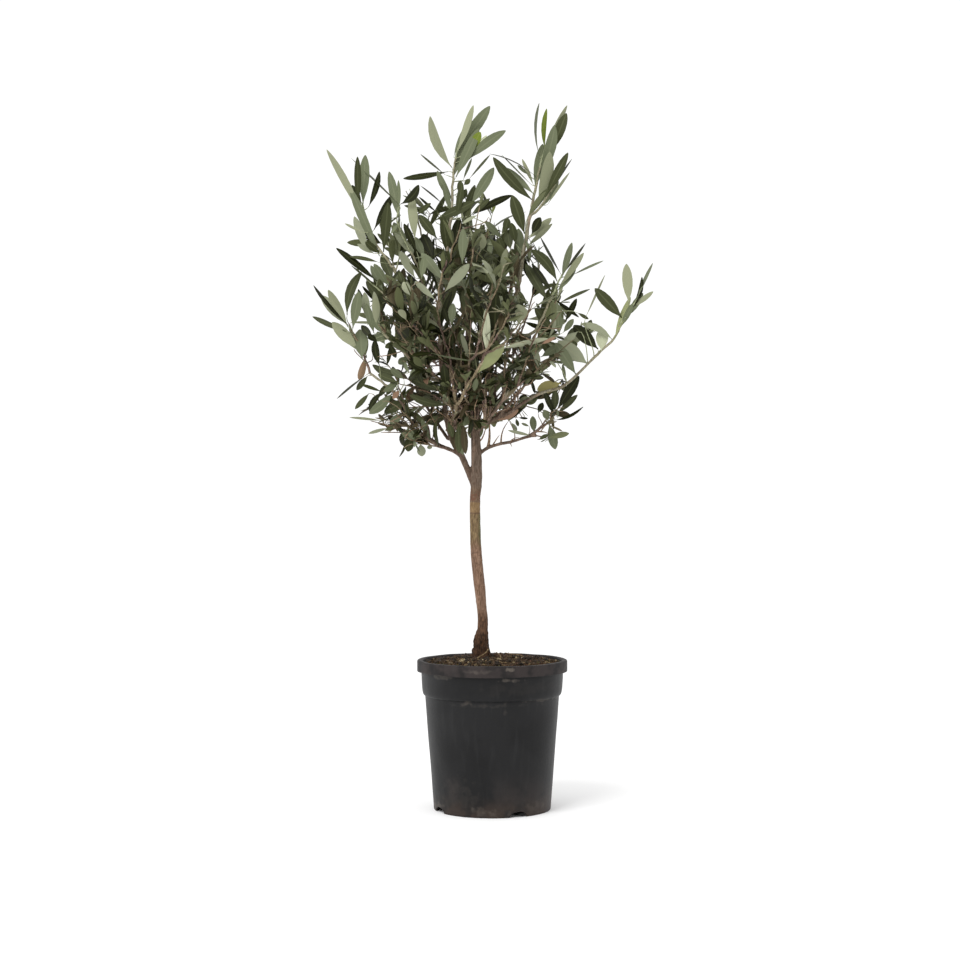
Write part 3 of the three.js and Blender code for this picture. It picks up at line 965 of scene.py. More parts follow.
# %% Leaves set on the left
HAND_SET["left_high"] = [
    (-146, 668, -198, 710, 8, "dark"), (-144, 692, -181, 699, 5, "mid", FACE, -0.03),
    (-146, 661, -179, 688, 2.5, "mid"), (-184, 625, -166, 680, 11, "mid", FACE, 0.09),
    (-91, 694, -124, 729, 8, "pale"), (-98, 672, -117, 706, 10, "pale"),
    (-96, 706, -112, 741, 8, "dark"), (-86, 698, -98, 724, 9, "grey"),
    (-132, 662, -150, 690, 9, "grey"), (-126, 668, -140, 702, 12, "mid"),
]
HAND_SET["left_far"] = [
    (-182, 612, -227, 663, 5, "dark", FACE, 0.04), (-183, 612, -217, 650, 12, "pale"),
    (-183, 610, -208, 657, 10, "grey", BACK), (-185, 604, -228, 623, 6, "mid"),
    (-170, 582, -203, 616, 13, "pale", BACK), (-165, 570, -168, 607, 16, "grey"),
    (-177, 608, -169, 655, 12, "grey"), (-160, 625, -170, 658, 6, "dark"),
    (-160, 628, -175, 652, 2, "pale", BACK), (-158, 618, -162, 654, 9, "pale"),
    (-150, 640, -151, 662, 6, "dark"), (-147, 612, -148, 650, 9, "pale", BACK),
    (-152, 596, -166, 612, 8, "dark"), (-146, 592, -158, 600, 7, "dark"),
    (-143, 612, -150, 655, 8, "pale"), (-150, 602, -160, 640, 9, "grey"),
    (-126, 597, -158, 596, 9, "grey"), (-140, 602, -152, 622, 8, "grey"),
    (-138, 655, -154, 688, 8, "grey"), (-140, 640, -160, 668, 8, "mid"),
    (-136, 588, -146, 604, 8, "grey"), (-122, 590, -136, 584, 7, "mid"),
    (-127, 592, -133, 563, 5, "dark"), (-143, 561, -149, 594, 9, "dark", FACE, 0.05),
    (-112, 551, -152, 562, 9, "mid", FACE, 0.1), (-120, 540, -145, 550, 9, "mid"),
    (-131, 590, -122, 571, 7, "dark"), (-107, 572, -119, 563, 9, "grey"),
    (-104, 594, -120, 610, 13, "dark"), (-112, 544, -129, 557, 8, "grey"),
    (-108, 614, -126, 630, 9, "dark"),
]
print("leaves set:", sum(map(len, HAND_SET.values())))

# %% Leaves set on the right
HAND_SET["right_high"] = [
    (87, 677, 61, 724, 4, "dark"), (82, 668, 50, 708, 12, "mid", FACE, -0.08),
    (70, 643, 42, 690, 12, "mid"), (76, 654, 50, 690, 7, "dark"),
    (88, 672, 101, 717, 8, "grey"), (92, 680, 118, 716, 4, "dark"),
    (86, 662, 116, 704, 7, "grey", BACK), (100, 675, 141, 694, 2, "grey"),
    (82, 655, 106, 684, 7, "grey"), (84, 640, 124, 658, 4, "mid"),
    (78, 646, 110, 622, 4, "dark"), (92, 616, 107, 646, 7, "dark"),
    (85, 600, 82, 640, 13, "grey"), (118, 622, 143, 676, 2, "pale", BACK),
    (108, 628, 122, 620, 4, "mid"),
]
HAND_SET["right_far"] = [
    (165, 621, 130, 659, 13, "mid"), (173, 640, 170, 690, 12, "pale", BACK),
    (176, 632, 190, 674, 5, "dark", FACE, -0.09), (183, 645, 203, 691, 2, "grey"),
    (178, 635, 204, 655, 6, "pale", BACK), (134, 582, 103, 612, 15, "dark"),
    (152, 594, 112, 614, 8, "pale", FACE, -0.1), (138, 580, 140, 608, 14, "silver", BACK),
    (121, 563, 83, 592, 17, "pale"), (106, 550, 80, 590, 13, "grey"),
    (84, 601, 42, 616, 6, "dark"), (78, 604, 54, 634, 10, "mid"),
    (108, 604, 90, 589, 9, "pale"), (90, 603, 103, 620, 7, "grey"),
    (93, 540, 89, 563, 4, "grey"), (163, 610, 178, 640, 7, "grey"),
    (170, 622, 191, 653, 8, "grey"), (155, 596, 175, 648, 7, "light"),
    (62, 572, 86, 587, 9, "grey"), (80, 568, 64, 590, 9, "mid"),
]
HAND_SET["right_low"] = [
    (82, 505, 110, 548, 12, "dark"), (82, 500, 108, 524, 7, "mid"),
    (79, 492, 116, 509, 4, "dark", FACE, -0.1), (79, 498, 66, 528, 7, "dark"),
    (79, 503, 80, 530, 9, "mid"), (58, 501, 64, 514, 7, "dark"), (71, 491, 66, 505, 8, "grey"),
    (72, 487, 80, 455, 11, "grey"), (53, 476, 51, 497, 8, "grey"),
    (33, 495, 45, 494, 2, "dark"), (50, 472, 20, 479, 4, "pale"),
    (87, 539, 57, 530, 14, "turning"), (-2, 493, 33, 505, 13, "dry"),
    (47, 484, 37, 488, 3, "grey"), (30, 494, 33, 484, 4, "mid"), (24, 489, 31, 478, 5, "pale"),
]
print("leaves set:", sum(map(len, HAND_SET.values())))

# %% Leaves set low down and in front
HAND_SET["left_low"] = [
    (-160, 549, -197, 519, 2.5, "dark"), (-158, 548, -172, 530, 7, "mid"),
    (-140, 528, -166, 537, 4, "mid"), (-156, 526, -174, 506, 6, "mid"),
    (-138, 528, -156, 503, 7, "dark", FACE, -0.1), (-140, 491, -181, 496, 1.5, "pale", BACK),
    (-132, 482, -157, 475, 4, "pale"), (-130, 484, -145, 488, 3, "mid"),
    (-103, 473, -107, 452, 11, "mid"), (-110, 470, -118, 445, 3, "dark", FACE, 0.12),
    (-91, 462, -89, 446, 10, "pale"), (-80, 461, -79, 455, 6, "pale"),
    (-127, 526, -156, 500, 11, "grey", FACE, 0.05), (-107, 519, -137, 501, 12, "mid"),
    (-118, 530, -126, 519, 6, "dry"), (-56, 512, -105, 524, 9, "mid", FACE, 0.08),
    (-62, 528, -106, 545, 11, "mid"), (-112, 500, -130, 488, 9, "grey"),
    (-118, 541, -137, 528, 8, "grey"), (-122, 522, -141, 515, 8, "mid"),
    (-135, 522, -124, 541, 8, "mid"), (-145, 520, -133, 537, 7, "mid"),
]
HAND_SET["front_low"] = [
    (-37, 490, -34, 449, 8, "umber"), (-43, 489, -42, 450, 9, "mid"),
    (-50, 484, -47, 454, 8, "umber"), (-44, 468, -37, 448, 6, "grey"),
    (-39, 484, -33, 464, 6, "umber"), (-56, 490, -50, 470, 7, "mid"),
]
HAND_SET["front_far"] = [
    (-7, 575, -8, 633, 9, "silver"), (-18, 552, 15, 588, 13, "light"),
    (-18, 567, -78, 577, 2.5, "grey", FACE, 0.04), (2, 588, 5, 655, 13, "dark"),
    (12, 583, 70, 596, 6, "silver", BACK), (62, 588, 80, 597, 4, "dry"),
]
HAND_SET["front_high"] = [
    (-54, 610, -62, 635, 6, "dark"), (-52, 613, -50, 640, 9, "grey"),
    (-61, 668, -90, 704, 11, "grey"), (-60, 655, -29, 690, 11, "pale"),
    (-38, 690, -37, 735, 10, "grey"),
]
HAND_SET["front_left"] = [
    (-104, 650, -113, 667, 9, "silver", BACK), (-90, 671, -86, 700, 8, "grey"),
    (-73, 645, -98, 668, 7, "pale"), (-92, 645, -97, 660, 8, "umber"),
]
print("leaves set:", sum(map(len, HAND_SET.values())))

# %% Stalks for the listed leaves
STALK_FROM = 2.5 * MM  # a leaf that starts farther from the wood gets a stalk of its own
STALK_LEAN = 0.5
LEAN = 0.3  # how far a tip leans back or forward, as a share of the leaf's length
LEAN_MOST = 0.5
DEPTH_SPREAD = 3  # mm that a leaf's foot lies in front of or behind its shoot
AWAY, MIDDLE, LEVEL = CAMERA_AWAY / MM, CAMERA_SIDE / MM, CAMERA_HEIGHT / MM


def on_sight(x, z, y):
    """The point at depth y that the camera sees at x and z of the stem's own plane. All in mm."""
    near = (AWAY + y) / AWAY
    return np.array([MIDDLE + (x - MIDDLE) * near, y, LEVEL + (z - LEVEL) * near]) * MM


hand_luck = np.random.default_rng(5)
hand_leaves = []
for short_name, rows in HAND_SET.items():
    name = MASS + short_name
    near_wood = [
        i for i, shoot in enumerate(shoots)
        if shoot.mass == name or shoot.kind in ("limb", "leader") and shoot.mass != "trunk"
    ]
    own_line = shoots[leaders[name]].line / MM
    for foot_x, foot_z, tip_x, tip_z, seen, paint, *rest in rows:
        side, bow = (*rest, *(FACE, 0)[len(rest):])
        gaps = np.hypot(own_line[:, 0] - foot_x, own_line[:, 2] - foot_z)
        foot_y = own_line[gaps.argmin(), 1] + hand_luck.normal(0, DEPTH_SPREAD)
        flat = math.hypot(tip_x - foot_x, tip_z - foot_z)
        tip_y = foot_y + flat * min(LEAN_MOST, max(-LEAN_MOST, hand_luck.normal(0, LEAN)))
        foot = on_sight(foot_x, foot_z, foot_y)
        tip = on_sight(tip_x, tip_z, tip_y)
        number, spot = best_joint(foot, near_wood, 0)
        start = shoots[number].line[spot]
        if np.linalg.norm(foot - start) > STALK_FROM:
            way = unit(shoots[number].ways[spot] * STALK_LEAN + unit(foot - start))
            line = even_line(arc(start, foot, way, unit(tip - foot)))
            shoots.append(Shoot(line, number, spot, "stalk", name))
        hand_leaves.append((foot, tip, seen * MM, paint, side, bow, name))
print("stalks:", sum(shoot.kind == "stalk" for shoot in shoots))

# %% [markdown]
# Each shoot is as thick as what it carries. Two shoots that meet make wood whose radius, raised to a
# power a little over two, is the sum of theirs. The limbs keep the frame's own radii.

# %% Thickness
PIPE = 2.5
TIP_RADIUS = {"leader": 0.75 * MM, "side": 0.6 * MM, "bare": 0.55 * MM, "stalk": 0.5 * MM}
THICKEN = 0.0045  # gain in radius for each length of shoot behind the tip
STOUT_TO = 0.8  # how much of its stoutness a set shoot loses by its tip
WIDEST = 0.85  # a shoot is no thicker than this share of the shoot it leaves
carried = [np.zeros(len(shoot.line)) for shoot in shoots]
for shoot, load in reversed(list(zip(shoots, carried))):
    if shoot.kind == "limb":
        continue
    marks = line_marks(shoot.line)
    own = TIP_RADIUS[shoot.kind] + (marks[-1] - marks) * THICKEN
    shoot.radii = (own**PIPE + load[::-1].cumsum()[::-1]) ** (1 / PIPE)
    if shoot.kind == "leader" and shoot.mass in ROUTES:
        shoot.stout = ROUTES[shoot.mass][1] * MM
    shoot.radii = np.maximum(shoot.radii, shoot.stout * (1 - STOUT_TO * marks / marks[-1]))
    carried[shoot.parent][shoot.joint] += shoot.radii[0] ** PIPE
for shoot in shoots:
    if shoot.kind != "limb":
        parent = shoots[shoot.parent]
        widest = parent.radii[shoot.joint] * (1 if parent.kind == "limb" else WIDEST)
        shoot.radii = np.minimum(shoot.radii, widest)
thick = {short(s.mass): round(float(s.radii[2] / MM), 1) for s in shoots if s.kind == "leader"}
print("leading shoots' radii:", thick)

# %% [markdown]
# ## The wood
#
# The stem, its boughs and the thick feet of the leading shoots are one skin of bark, with soft
# crotches where they meet. The stem's bends and swellings are eased first, by a millimetre or two.
# Each limb is then drawn as a curve with its own thickness at every point, small knobs are added for
# the knots of cut twigs, and the whole is remeshed into one skin.

# %% The stem eased
# Height, how far the stem moves to the right there, and what its radius gains, all in mm.
STEM_EASED = [
    (190, 1.4, 0), (220, 1.9, 0.2), (240, 1.7, 0.1), (260, 0.1, 0.2), (280, -0.3, 1.1),
    (300, -0.6, 1.3), (320, -1.0, 1.2), (350, -0.6, 1.2), (395, -0.4, 0.9), (412, 0, 0),
]
stem = shoots[0]
heights, shifts, gains = np.transpose(STEM_EASED)
stem.line[:, 0] += np.interp(stem.line[:, 2] / MM, heights, shifts) * MM
stem.radii += np.interp(stem.line[:, 2] / MM, heights, gains) * MM
print("stem's radii in mm:", (stem.radii[::5] / MM).round(1))

# %% Limbs drawn as one curve
WOOD_LEAST = 1.7 * MM  # thinner wood is drawn as twigs
SINK = 7 * MM  # how far the stem's foot goes on down into the compost

drawing = bpy.data.curves.new("wood", "CURVE")
drawing.dimensions = "3D"
drawing.bevel_depth = 1
drawing.bevel_resolution = 4
drawing.use_fill_caps = True


def draw_limb(line, radii):
    spline = drawing.splines.new("POLY")
    spline.points.add(len(line) - 1)
    spline.points.foreach_set("co", np.column_stack([line, np.ones(len(line))]).ravel())
    spline.points.foreach_set("radius", radii)


wood_end = {}
for i, shoot in enumerate(shoots):
    if shoot is stem:
        line = np.vstack([stem.line[0] - UP * SINK, stem.line])
        draw_limb(line, np.concatenate([stem.radii[:1], stem.radii]))
    elif shoot.kind == "limb":
        draw_limb(shoot.line, shoot.radii)
    elif shoot.radii[1] > WOOD_LEAST:
        count = max(3, int((shoot.radii > WOOD_LEAST).sum()))
        wood_end[i] = count - 1
        draw_limb(shoot.line[:count], shoot.radii[:count])
wood = bpy.data.objects.new("wood", drawing)
bpy.context.scene.collection.objects.link(wood)
pick_only(wood)
bpy.ops.object.convert(target="MESH")
wood = bpy.context.object
print("limbs drawn:", len(drawing.splines))

# %% Knots on the stem
VOXEL = 0.9 * MM
KNOT_IN = 0.55  # how much of a knot's radius is sunk in the stem
KNOT_TALL = 1.4
KNOTS = [  # height in mm, bearing in degrees, radius in mm
    (297, 300, 2.6), (304, 268, 2.2), (314, 335, 2.4), (341, 290, 2.0), (368, 250, 1.8),
    (262, 160, 2.4), (331, 70, 2.6), (393, 310, 2.2), (405, 120, 2.4), (239, 280, 2.6),
    (212, 186, 8), (205, 200, 5), (222, 170, 4), (198, 170, 5), (210, 230, 4.5), (200, 330, 4.5),
]
for height, bearing, radius in KNOTS:
    x, y, girth = (
        np.interp(height * MM, stem.line[:, 2], along)
        for along in (stem.line[:, 0], stem.line[:, 1], stem.radii)
    )
    out = girth - radius * MM * KNOT_IN
    turn = math.radians(bearing)
    start_piece()
    bpy.ops.mesh.primitive_ico_sphere_add(
        subdivisions=2, radius=radius * MM,
        location=(x + math.cos(turn) * out, y + math.sin(turn) * out, height * MM),
    )
    bpy.context.object.scale = (1, 1, KNOT_TALL)
    wood.select_set(True)
    bpy.context.view_layer.objects.active = wood
    bpy.ops.object.join()
put_modifier(wood, "REMESH", mode="VOXEL", voxel_size=VOXEL)
put_modifier(wood, "SMOOTH", factor=0.5, iterations=5)
print("wood skin:", len(wood.data.vertices))

# %% How thick the wood is, for its colour
drawn = [shoot for i, shoot in enumerate(shoots) if shoot.kind == "limb" or i in wood_end]
wood_radii = np.concatenate([shoot.radii for shoot in drawn]) / MM
finder = KDTree(len(wood_radii))
for number, point in enumerate(np.vstack([shoot.line for shoot in drawn])):
    finder.insert(point, number)
finder.balance()
girth = [wood_radii[finder.find(vertex.co)[1]] for vertex in wood.data.vertices]
wood.data.attributes.new("girth", "FLOAT", "POINT").data.foreach_set("value", girth)
print("girth in mm:", round(float(min(girth)), 1), "to", round(float(max(girth)), 1))

# %% [markdown]
# The bark has long shallow ridges all the way up. At the foot it is old, cracked into plates, and
# bulges a little. Each kind of relief is a texture read in a stretched place, so that ridges run up
# the stem, and the plates only act on the vertices near the ground.

# %% Relief of the bark
FOOT_TOP = 226 * MM


def relief(piece, name, kind, size, strength, group):
    """Pushes a piece's surface in and out by a texture, read in a place stretched to a size."""
    texture = bpy.data.textures.new(name, kind)
    texture.noise_scale = 1
    place = bpy.data.objects.new(name + "_place", None)
    place.scale = size
    bpy.context.scene.collection.objects.link(place)
    bpy.context.view_layer.update()
    put_modifier(
        piece, "DISPLACE", texture=texture, texture_coords="OBJECT",
        texture_coords_object=place, strength=strength, mid_level=0.5, vertex_group=group,
    )
    bpy.data.objects.remove(place)


def height_group(piece, name, full, none):
    """A vertex group that is full at one height and fades out by another, above or below it."""
    group = piece.vertex_groups.new(name=name)
    for vertex in piece.data.vertices:
        weight = (vertex.co.z - none) / (full - none)
        if weight > 0:
            group.add([vertex.index], min(1, weight), "REPLACE")


height_group(wood, "foot", FOOT_TOP - 10 * MM, FOOT_TOP + 5 * MM)
height_group(wood, "stem", 430 * MM, 560 * MM)
relief(wood, "ridges", "CLOUDS", (0.005, 0.005, 0.022), 0.9 * MM, "stem")
relief(wood, "grain", "CLOUDS", (0.0018, 0.0018, 0.006), 0.35 * MM, "stem")
relief(wood, "plates", "VORONOI", (0.006, 0.006, 0.009), 3.4 * MM, "foot")
relief(wood, "crumbs", "CLOUDS", (0.0025, 0.0025, 0.003), 1.5 * MM, "foot")
pick_only(wood)
bpy.ops.object.shade_smooth()
print("relief pushed into", len(wood.data.vertices), "points")

# %% [markdown]
# The bark's colour changes up the stem: nearly black-brown and rough at the foot, tan with a pink
# cast above, a bruise that is brown on its left and olive-green on its right, an ochre ring with
# crisp edges, a painted shade just above the ring under the fork, and a purplish grey-brown up into
# the fork and boughs. Thin wood high up is paler, and the front bough is palest: a painted highlight
# for the light it stands in. Fine streaks run along it all. The colours are laid over each other
# like coats of paint, each through a mask of its own.

# %% Bark material
BRUISE_MIDDLE = -17  # mm across: the bruise is green to the right of this

bark, shader, place = new_material("bark", 0.85, 0.2)
across = place.axis(0)
forward = 0 - place.axis(1)
level = place.axis(2)
height = level + (place.noise(90, 3) - 0.5) * 9
drawn_out = place.drawn_out(0.16)
streak = drawn_out.noise(900, 4)
blotch = drawn_out.noise(130, 4)
lines = place.drawn_out(5).noise(90, 3)
patch = place.noise(240, 4)
edge = level + (patch - 0.5) * 2
girth = place.node("Attribute", {"attribute_name": "girth"}, out=2)
streaks = streak.step(0.36, 0.66)


def streaky(dark, light):
    return streaks.mix(srgb(*dark), srgb(*light))


# painted highlight: the thin front bough, which stands in the light, is painted palest
front_bough_lit = girth.step(4.8, 4) * forward.step(16, 30) * across.step(-6, -14)
bruise = height.step(326, 346) * height.step(378, 372)
green_side = (across + (patch - 0.5) * 8).step(BRUISE_MIDDLE - 2, BRUISE_MIDDLE + 2)
ring = edge.step(374, 375.5) * edge.step(388.5, 387)
# painted shade: the stem darker just above the ring, under the fork
shade_over_ring = edge.step(387, 388.5) * height.step(414, 400)
red = height.step(388, 391) * height.step(406, 396) * patch.step(0.42, 0.55)
seams = edge.step(372.5, 373.5) * edge.step(375.5, 374.5)
scars = patch.step(0.62, 0.7) * height.step(214, 240)
COATS = [  # where each colour lies, and the colour
    (height.step(396, 408), streaky((78, 64, 53), (112, 97, 84))),
    (girth.step(3.6, 2.9) * height.step(512, 530), streaky((120, 114, 94), (156, 151, 130))),
    # painted highlight on the front bough
    (front_bough_lit, streaky((138, 123, 96), (184, 168, 136))),
    (blotch.step(0.52, 0.64) * 0.45, srgb(86, 66, 54)),
    (blotch.step(0.46, 0.36) * 0.4, srgb(160, 134, 116)),
    (lines.step(0.6, 0.66) * 0.5, srgb(78, 60, 48)),
    (bruise * 0.9, streaky((84, 68, 46), (122, 104, 74))),
    (bruise * green_side * 0.9, streaky((72, 70, 46), (104, 99, 70))),
    (ring, streaky((106, 84, 58), (132, 109, 79))),
    # painted shade above the ring, under the fork
    (shade_over_ring * 0.8, streaky((82, 65, 51), (108, 90, 72))),
    (red, srgb(98, 70, 55)),
    (seams * 0.5, srgb(70, 50, 34)),
    (height.step(254, 238), streaky((64, 46, 34), (106, 78, 58))),
    (height.step(232, 212), streaky((36, 24, 15), (76, 52, 34))),
    (scars * 0.55, srgb(84, 62, 48)),
]
colour = streaky((97, 74, 57), (139, 111, 92))
for mask, coat in COATS:
    colour = mask.mix(colour, coat)
put_colours(shader, colour, 0.6, 0.0004, drawn_out.noise(1500, 3) + streak)
wood.data.materials.clear()
wood.data.materials.append(bark)
finish_piece(wood, "wood", list(GROWS_FROM))

# %% [markdown]
# ## Twigs
#
# Every thinner shoot is a six-sided tube that tapers to its tip. There are hundreds, so they are
# built from arrays as one joined mesh. A shoot's wood is grey-brown where it is old, tan on the
# outer shoots, reddish on the bare twigs and sage green where it is young and in the light. The one
# shoot that comes forward into the light is painted pale, a painted highlight.

# %% Twig materials
def twig_material(name, dark, light):
    material, shader, place = new_material(name, 0.75, 0.25)
    spots = place.noise(420, 3)
    colour = spots.step(0.38, 0.62).mix(srgb(*dark), srgb(*light))
    put_colours(shader, colour, 0.4, 0.0003, spots)
    return material


TWIG_COLOURS = {
    "old": ((92, 74, 64), (126, 106, 94)),
    "tan": ((118, 112, 88), (150, 145, 120)),
    "red": ((98, 78, 60), (142, 120, 96)),
    "brown": ((100, 86, 66), (134, 120, 96)),
    "young": ((122, 128, 96), (152, 156, 124)),
    # painted highlight: the lit leading shoot of the front spray
    "pale": ((170, 157, 130), (202, 191, 162)),
}
twig_materials = [twig_material(f"twig_{name}", *pair) for name, pair in TWIG_COLOURS.items()]
TWIG_NUMBER = {name: number for number, name in enumerate(TWIG_COLOURS)}
print("twig materials:", list(TWIG_COLOURS))

# %% Tubes
TWIG_SIDES = 6
ASLANT = [0.31, 0.92, 0.24]  # a way that no shoot starts along


def tube_rings(line, radii):
    """Rings of points round a line, each turned as little as can be from the one before."""
    ways = line_ways(line)
    across = unit(np.cross(ways[0], ASLANT))
    rings = []
    angles = np.arange(TWIG_SIDES) * 2 * np.pi / TWIG_SIDES
    for point, way, radius in zip(line, ways, radii):
        across = unit(across - way * (across @ way))
        round_it = np.outer(np.cos(angles), across) + np.outer(np.sin(angles), np.cross(way, across))
        rings.append(point + radius * round_it)
    return np.vstack(rings)


def tube_faces(rings, first):
    """The faces of a tube's sides, then of its two ends."""
    faces = []
    for low in range(first, first + (rings - 1) * TWIG_SIDES, TWIG_SIDES):
        for side in range(TWIG_SIDES):
            turn = (side + 1) % TWIG_SIDES
            faces.append((low + side, low + turn, low + TWIG_SIDES + turn, low + TWIG_SIDES + side))
    foot = range(first, first + TWIG_SIDES)
    tip = range(first + (rings - 1) * TWIG_SIDES, first + rings * TWIG_SIDES)
    return [*faces, tuple(reversed(foot)), tuple(tip)]


def joined_tubes(name, tubes, materials, tints=None):
    """One mesh of many tubes, each given as its line and its radii."""
    places, faces = [], []
    first = 0
    for line, radii in tubes:
        places.append(tube_rings(line, radii))
        faces += tube_faces(len(line), first)
        first += len(line) * TWIG_SIDES
    return mesh_piece(name, np.vstack(places), faces, tints or [0] * len(faces), materials)


print("tube faces:", len(tube_faces(2, 0)), "for each two rings")

# %% Twigs and shoots
TIP_NARROWER = 0.45  # how much of its radius a shoot keeps at its very tip


def twig_paints(shoot, count):
    """The paint of each stretch of a shoot, from its foot to its tip, as numbers."""
    outer = habit_of[shoot.mass] in ("crest", "outer") and shoot.mass != "foliage_front_high"
    if shoot.mass == "foliage_front_far":
        outer = shoot.kind != "side"
    older, younger = ("tan", "young") if outer else ("old", "brown")
    # the leading shoot of the front spray is painted pale: a painted highlight for the light on it
    if shoot is shoots[leaders["foliage_front_far"]]:
        older = younger = "pale"
    elif shoot.kind == "bare":
        older = younger = "tan" if outer else "red"
    elif shoot.kind == "stalk":
        older = younger
    is_young = np.linspace(0, 1, count) >= (0.62 if shoot.kind == "leader" else 0.35)
    return np.where(is_young, TWIG_NUMBER[younger], TWIG_NUMBER[older])


tubes, tints = [], []
for i, shoot in enumerate(shoots):
    begin = max(0, wood_end.get(i, 0) - 2)
    line, radii = shoot.line[begin:], shoot.radii[begin:].copy()
    if shoot.kind == "limb" or len(line) < 3:
        continue
    radii[-1] *= TIP_NARROWER
    tubes.append((line, radii))
    stretches = twig_paints(shoot, len(line) - 1)
    tints += [*np.repeat(stretches, TWIG_SIDES), *stretches[[0, -1]]]
finish_piece(joined_tubes("twigs", tubes, twig_materials, tints), "twigs")

# %% [markdown]
# ## A leaf
#
# An olive leaf is a narrow lance: a short stalk, a blade that is widest past its middle, and a
# pointed tip, with a pale rib down a dark leathery face and a silvery underside. One leaf is
# modelled by hand from a six-sided ring, drawn out ring by ring along its length. The joined sprays
# are then made from its points, bent, folded and twisted for each leaf in turn.

# %% The model leaf
LEAF_STAGES = [  # share of the length, and of the width
    (0.0, 0.1), (0.06, 0.11), (0.13, 0.26), (0.27, 0.66), (0.44, 0.93),
    (0.61, 1.0), (0.77, 0.87), (0.89, 0.6), (0.965, 0.3), (1.0, 0.07),
]
RIB = 0.06  # half the rib's width, as a share of the leaf's width
LEAF_RING = [(0.5, 0), (RIB, 0.5), (-RIB, 0.5), (-0.5, 0), (-RIB, -0.5), (RIB, -0.5)]

start_piece()
bpy.ops.mesh.primitive_circle_add(vertices=len(LEAF_RING), radius=0.5, fill_type="NGON")
model_leaf = bpy.context.object
for vertex, (across, over) in zip(model_leaf.data.vertices, LEAF_RING):
    vertex.co = (0, across, over)
edit_all(model_leaf)
bpy.ops.transform.resize(value=(1, LEAF_STAGES[0][1], 1))
for (last_at, last_width), (at, width) in zip(LEAF_STAGES, LEAF_STAGES[1:]):
    extrude_on((at - last_at, 0, 0), (1, width / last_width, 1), (at, 0, 0))
close_up()
print("model leaf:", len(model_leaf.data.vertices), "points", len(model_leaf.data.polygons), "faces")

# %% Points and faces of the model leaf
def taken_apart(model):
    """A model's points and faces, as arrays to build from. The model itself is removed."""
    points = np.array([vertex.co for vertex in model.data.vertices])
    faces = [tuple(face.vertices) for face in model.data.polygons]
    bpy.data.objects.remove(model)
    return points, faces


rises = np.array([face.normal.z for face in model_leaf.data.polygons])
FACE_TINTS = np.where(rises > 0.99, 2, np.where(rises > 0.05, 0, 1))  # 0 face, 1 back, 2 rib
LEAF_POINTS, LEAF_FACES = taken_apart(model_leaf)
LEAF_MARGIN = np.abs(LEAF_POINTS[:, 2]) < 0.01
print("faces of the rib:", (FACE_TINTS == 2).sum())

# %% [markdown]
# An open crown shows the sky in places, and a few sprays stand clear before the rest. Chance knows
# neither, so both are written down first: a leaf that would spoil them is tried shorter and swung
# aside, and left out if nothing helps.

# %% Windows in the crown
# Seen from the front, the crown is open in these places: middle x and z, half width and half height,
# in mm, as they lie on the plane of the stem. Leaves dealt by chance leave them free.
WINDOWS = [
    (-147, 778, 7, 14), (-150, 752, 6, 14), (-125, 760, 4, 11), (-109, 757, 5, 8),
    (-112, 739, 4, 5), (-80, 776, 10, 6), (-72, 786, 10, 7), (-79, 762, 7, 6), (-90, 731, 5, 5),
    (-70, 738, 5, 7), (-24, 742, 7, 4), (5, 786, 15, 10), (14, 768, 8, 5), (4, 751, 10, 7),
    (-14, 747, 6, 4), (45, 757, 5, 15), (76, 722, 9, 14), (66, 697, 6, 10), (40, 668, 7, 12),
    (-6, 660, 8, 4), (20, 680, 5, 4), (-133, 633, 4, 7), (-125, 605, 6, 6), (-95, 616, 5, 4),
    (-137, 577, 6, 4), (-125, 566, 7, 7), (-115, 576, 7, 4), (-131, 586, 4, 5), (-142, 553, 8, 7),
    (-154, 572, 4, 11), (-153, 541, 10, 6), (-140, 536, 9, 5), (-162, 524, 12, 6),
    (-125, 523, 5, 4), (-115, 536, 5, 8), (-138, 511, 6, 9), (-71, 563, 8, 5), (-71, 547, 7, 6),
    (-66, 513, 5, 5), (-95, 513, 4, 4), (-54, 503, 6, 5), (-88, 501, 6, 4), (-46, 595, 3, 5),
    (-30, 598, 5, 4), (-24, 612, 5, 4), (-70, 596, 4, 6), (-64, 612, 3, 6), (-45, 644, 3, 5),
    (-37, 526, 5, 5), (-88, 585, 5, 4), (45, 626, 7, 8), (37, 618, 4, 6), (28, 607, 6, 6),
    (52, 602, 9, 5), (88, 606, 4, 6), (97, 615, 4, 6), (75, 583, 5, 6), (65, 573, 7, 8),
    (82, 555, 8, 9), (94, 550, 5, 8), (111, 562, 9, 7), (119, 586, 10, 8), (26, 575, 6, 6),
    (45, 559, 4, 5), (10, 555, 6, 4), (1, 563, 5, 4), (-15, 569, 5, 4), (-20, 587, 5, 4),
    (16, 590, 6, 4), (-10, 545, 6, 5), (-9, 528, 5, 5), (10, 527, 6, 8), (40, 531, 8, 9),
    (23, 517, 8, 5), (62, 541, 8, 6), (-13, 504, 6, 6), (9, 506, 7, 4), (-110, 636, 4, 3),
    (-33, 674, 3, 6), (-69, 685, 3, 5), (100, 650, 10, 8), (110, 680, 12, 12), (112, 640, 8, 6),
    (140, 650, 8, 10), (145, 615, 8, 6), (0, 478, 7, 9), (24, 475, 7, 6), (-12, 497, 4, 4),
    (40, 485, 6, 5), (60, 512, 9, 6), (96, 486, 13, 9), (94, 464, 12, 8), (50, 650, 5, 6),
    (66, 652, 5, 8), (50, 503, 9, 8), (-150, 483, 12, 8), (-128, 470, 8, 8), (-185, 577, 14, 14),
    (-28, 792, 5, 6), (-74, 449, 7, 6), (-125, 459, 8, 7), (-140, 472, 7, 6), (86, 702, 8, 5),
    (73, 683, 4, 5),
]
print("windows:", len(WINDOWS))

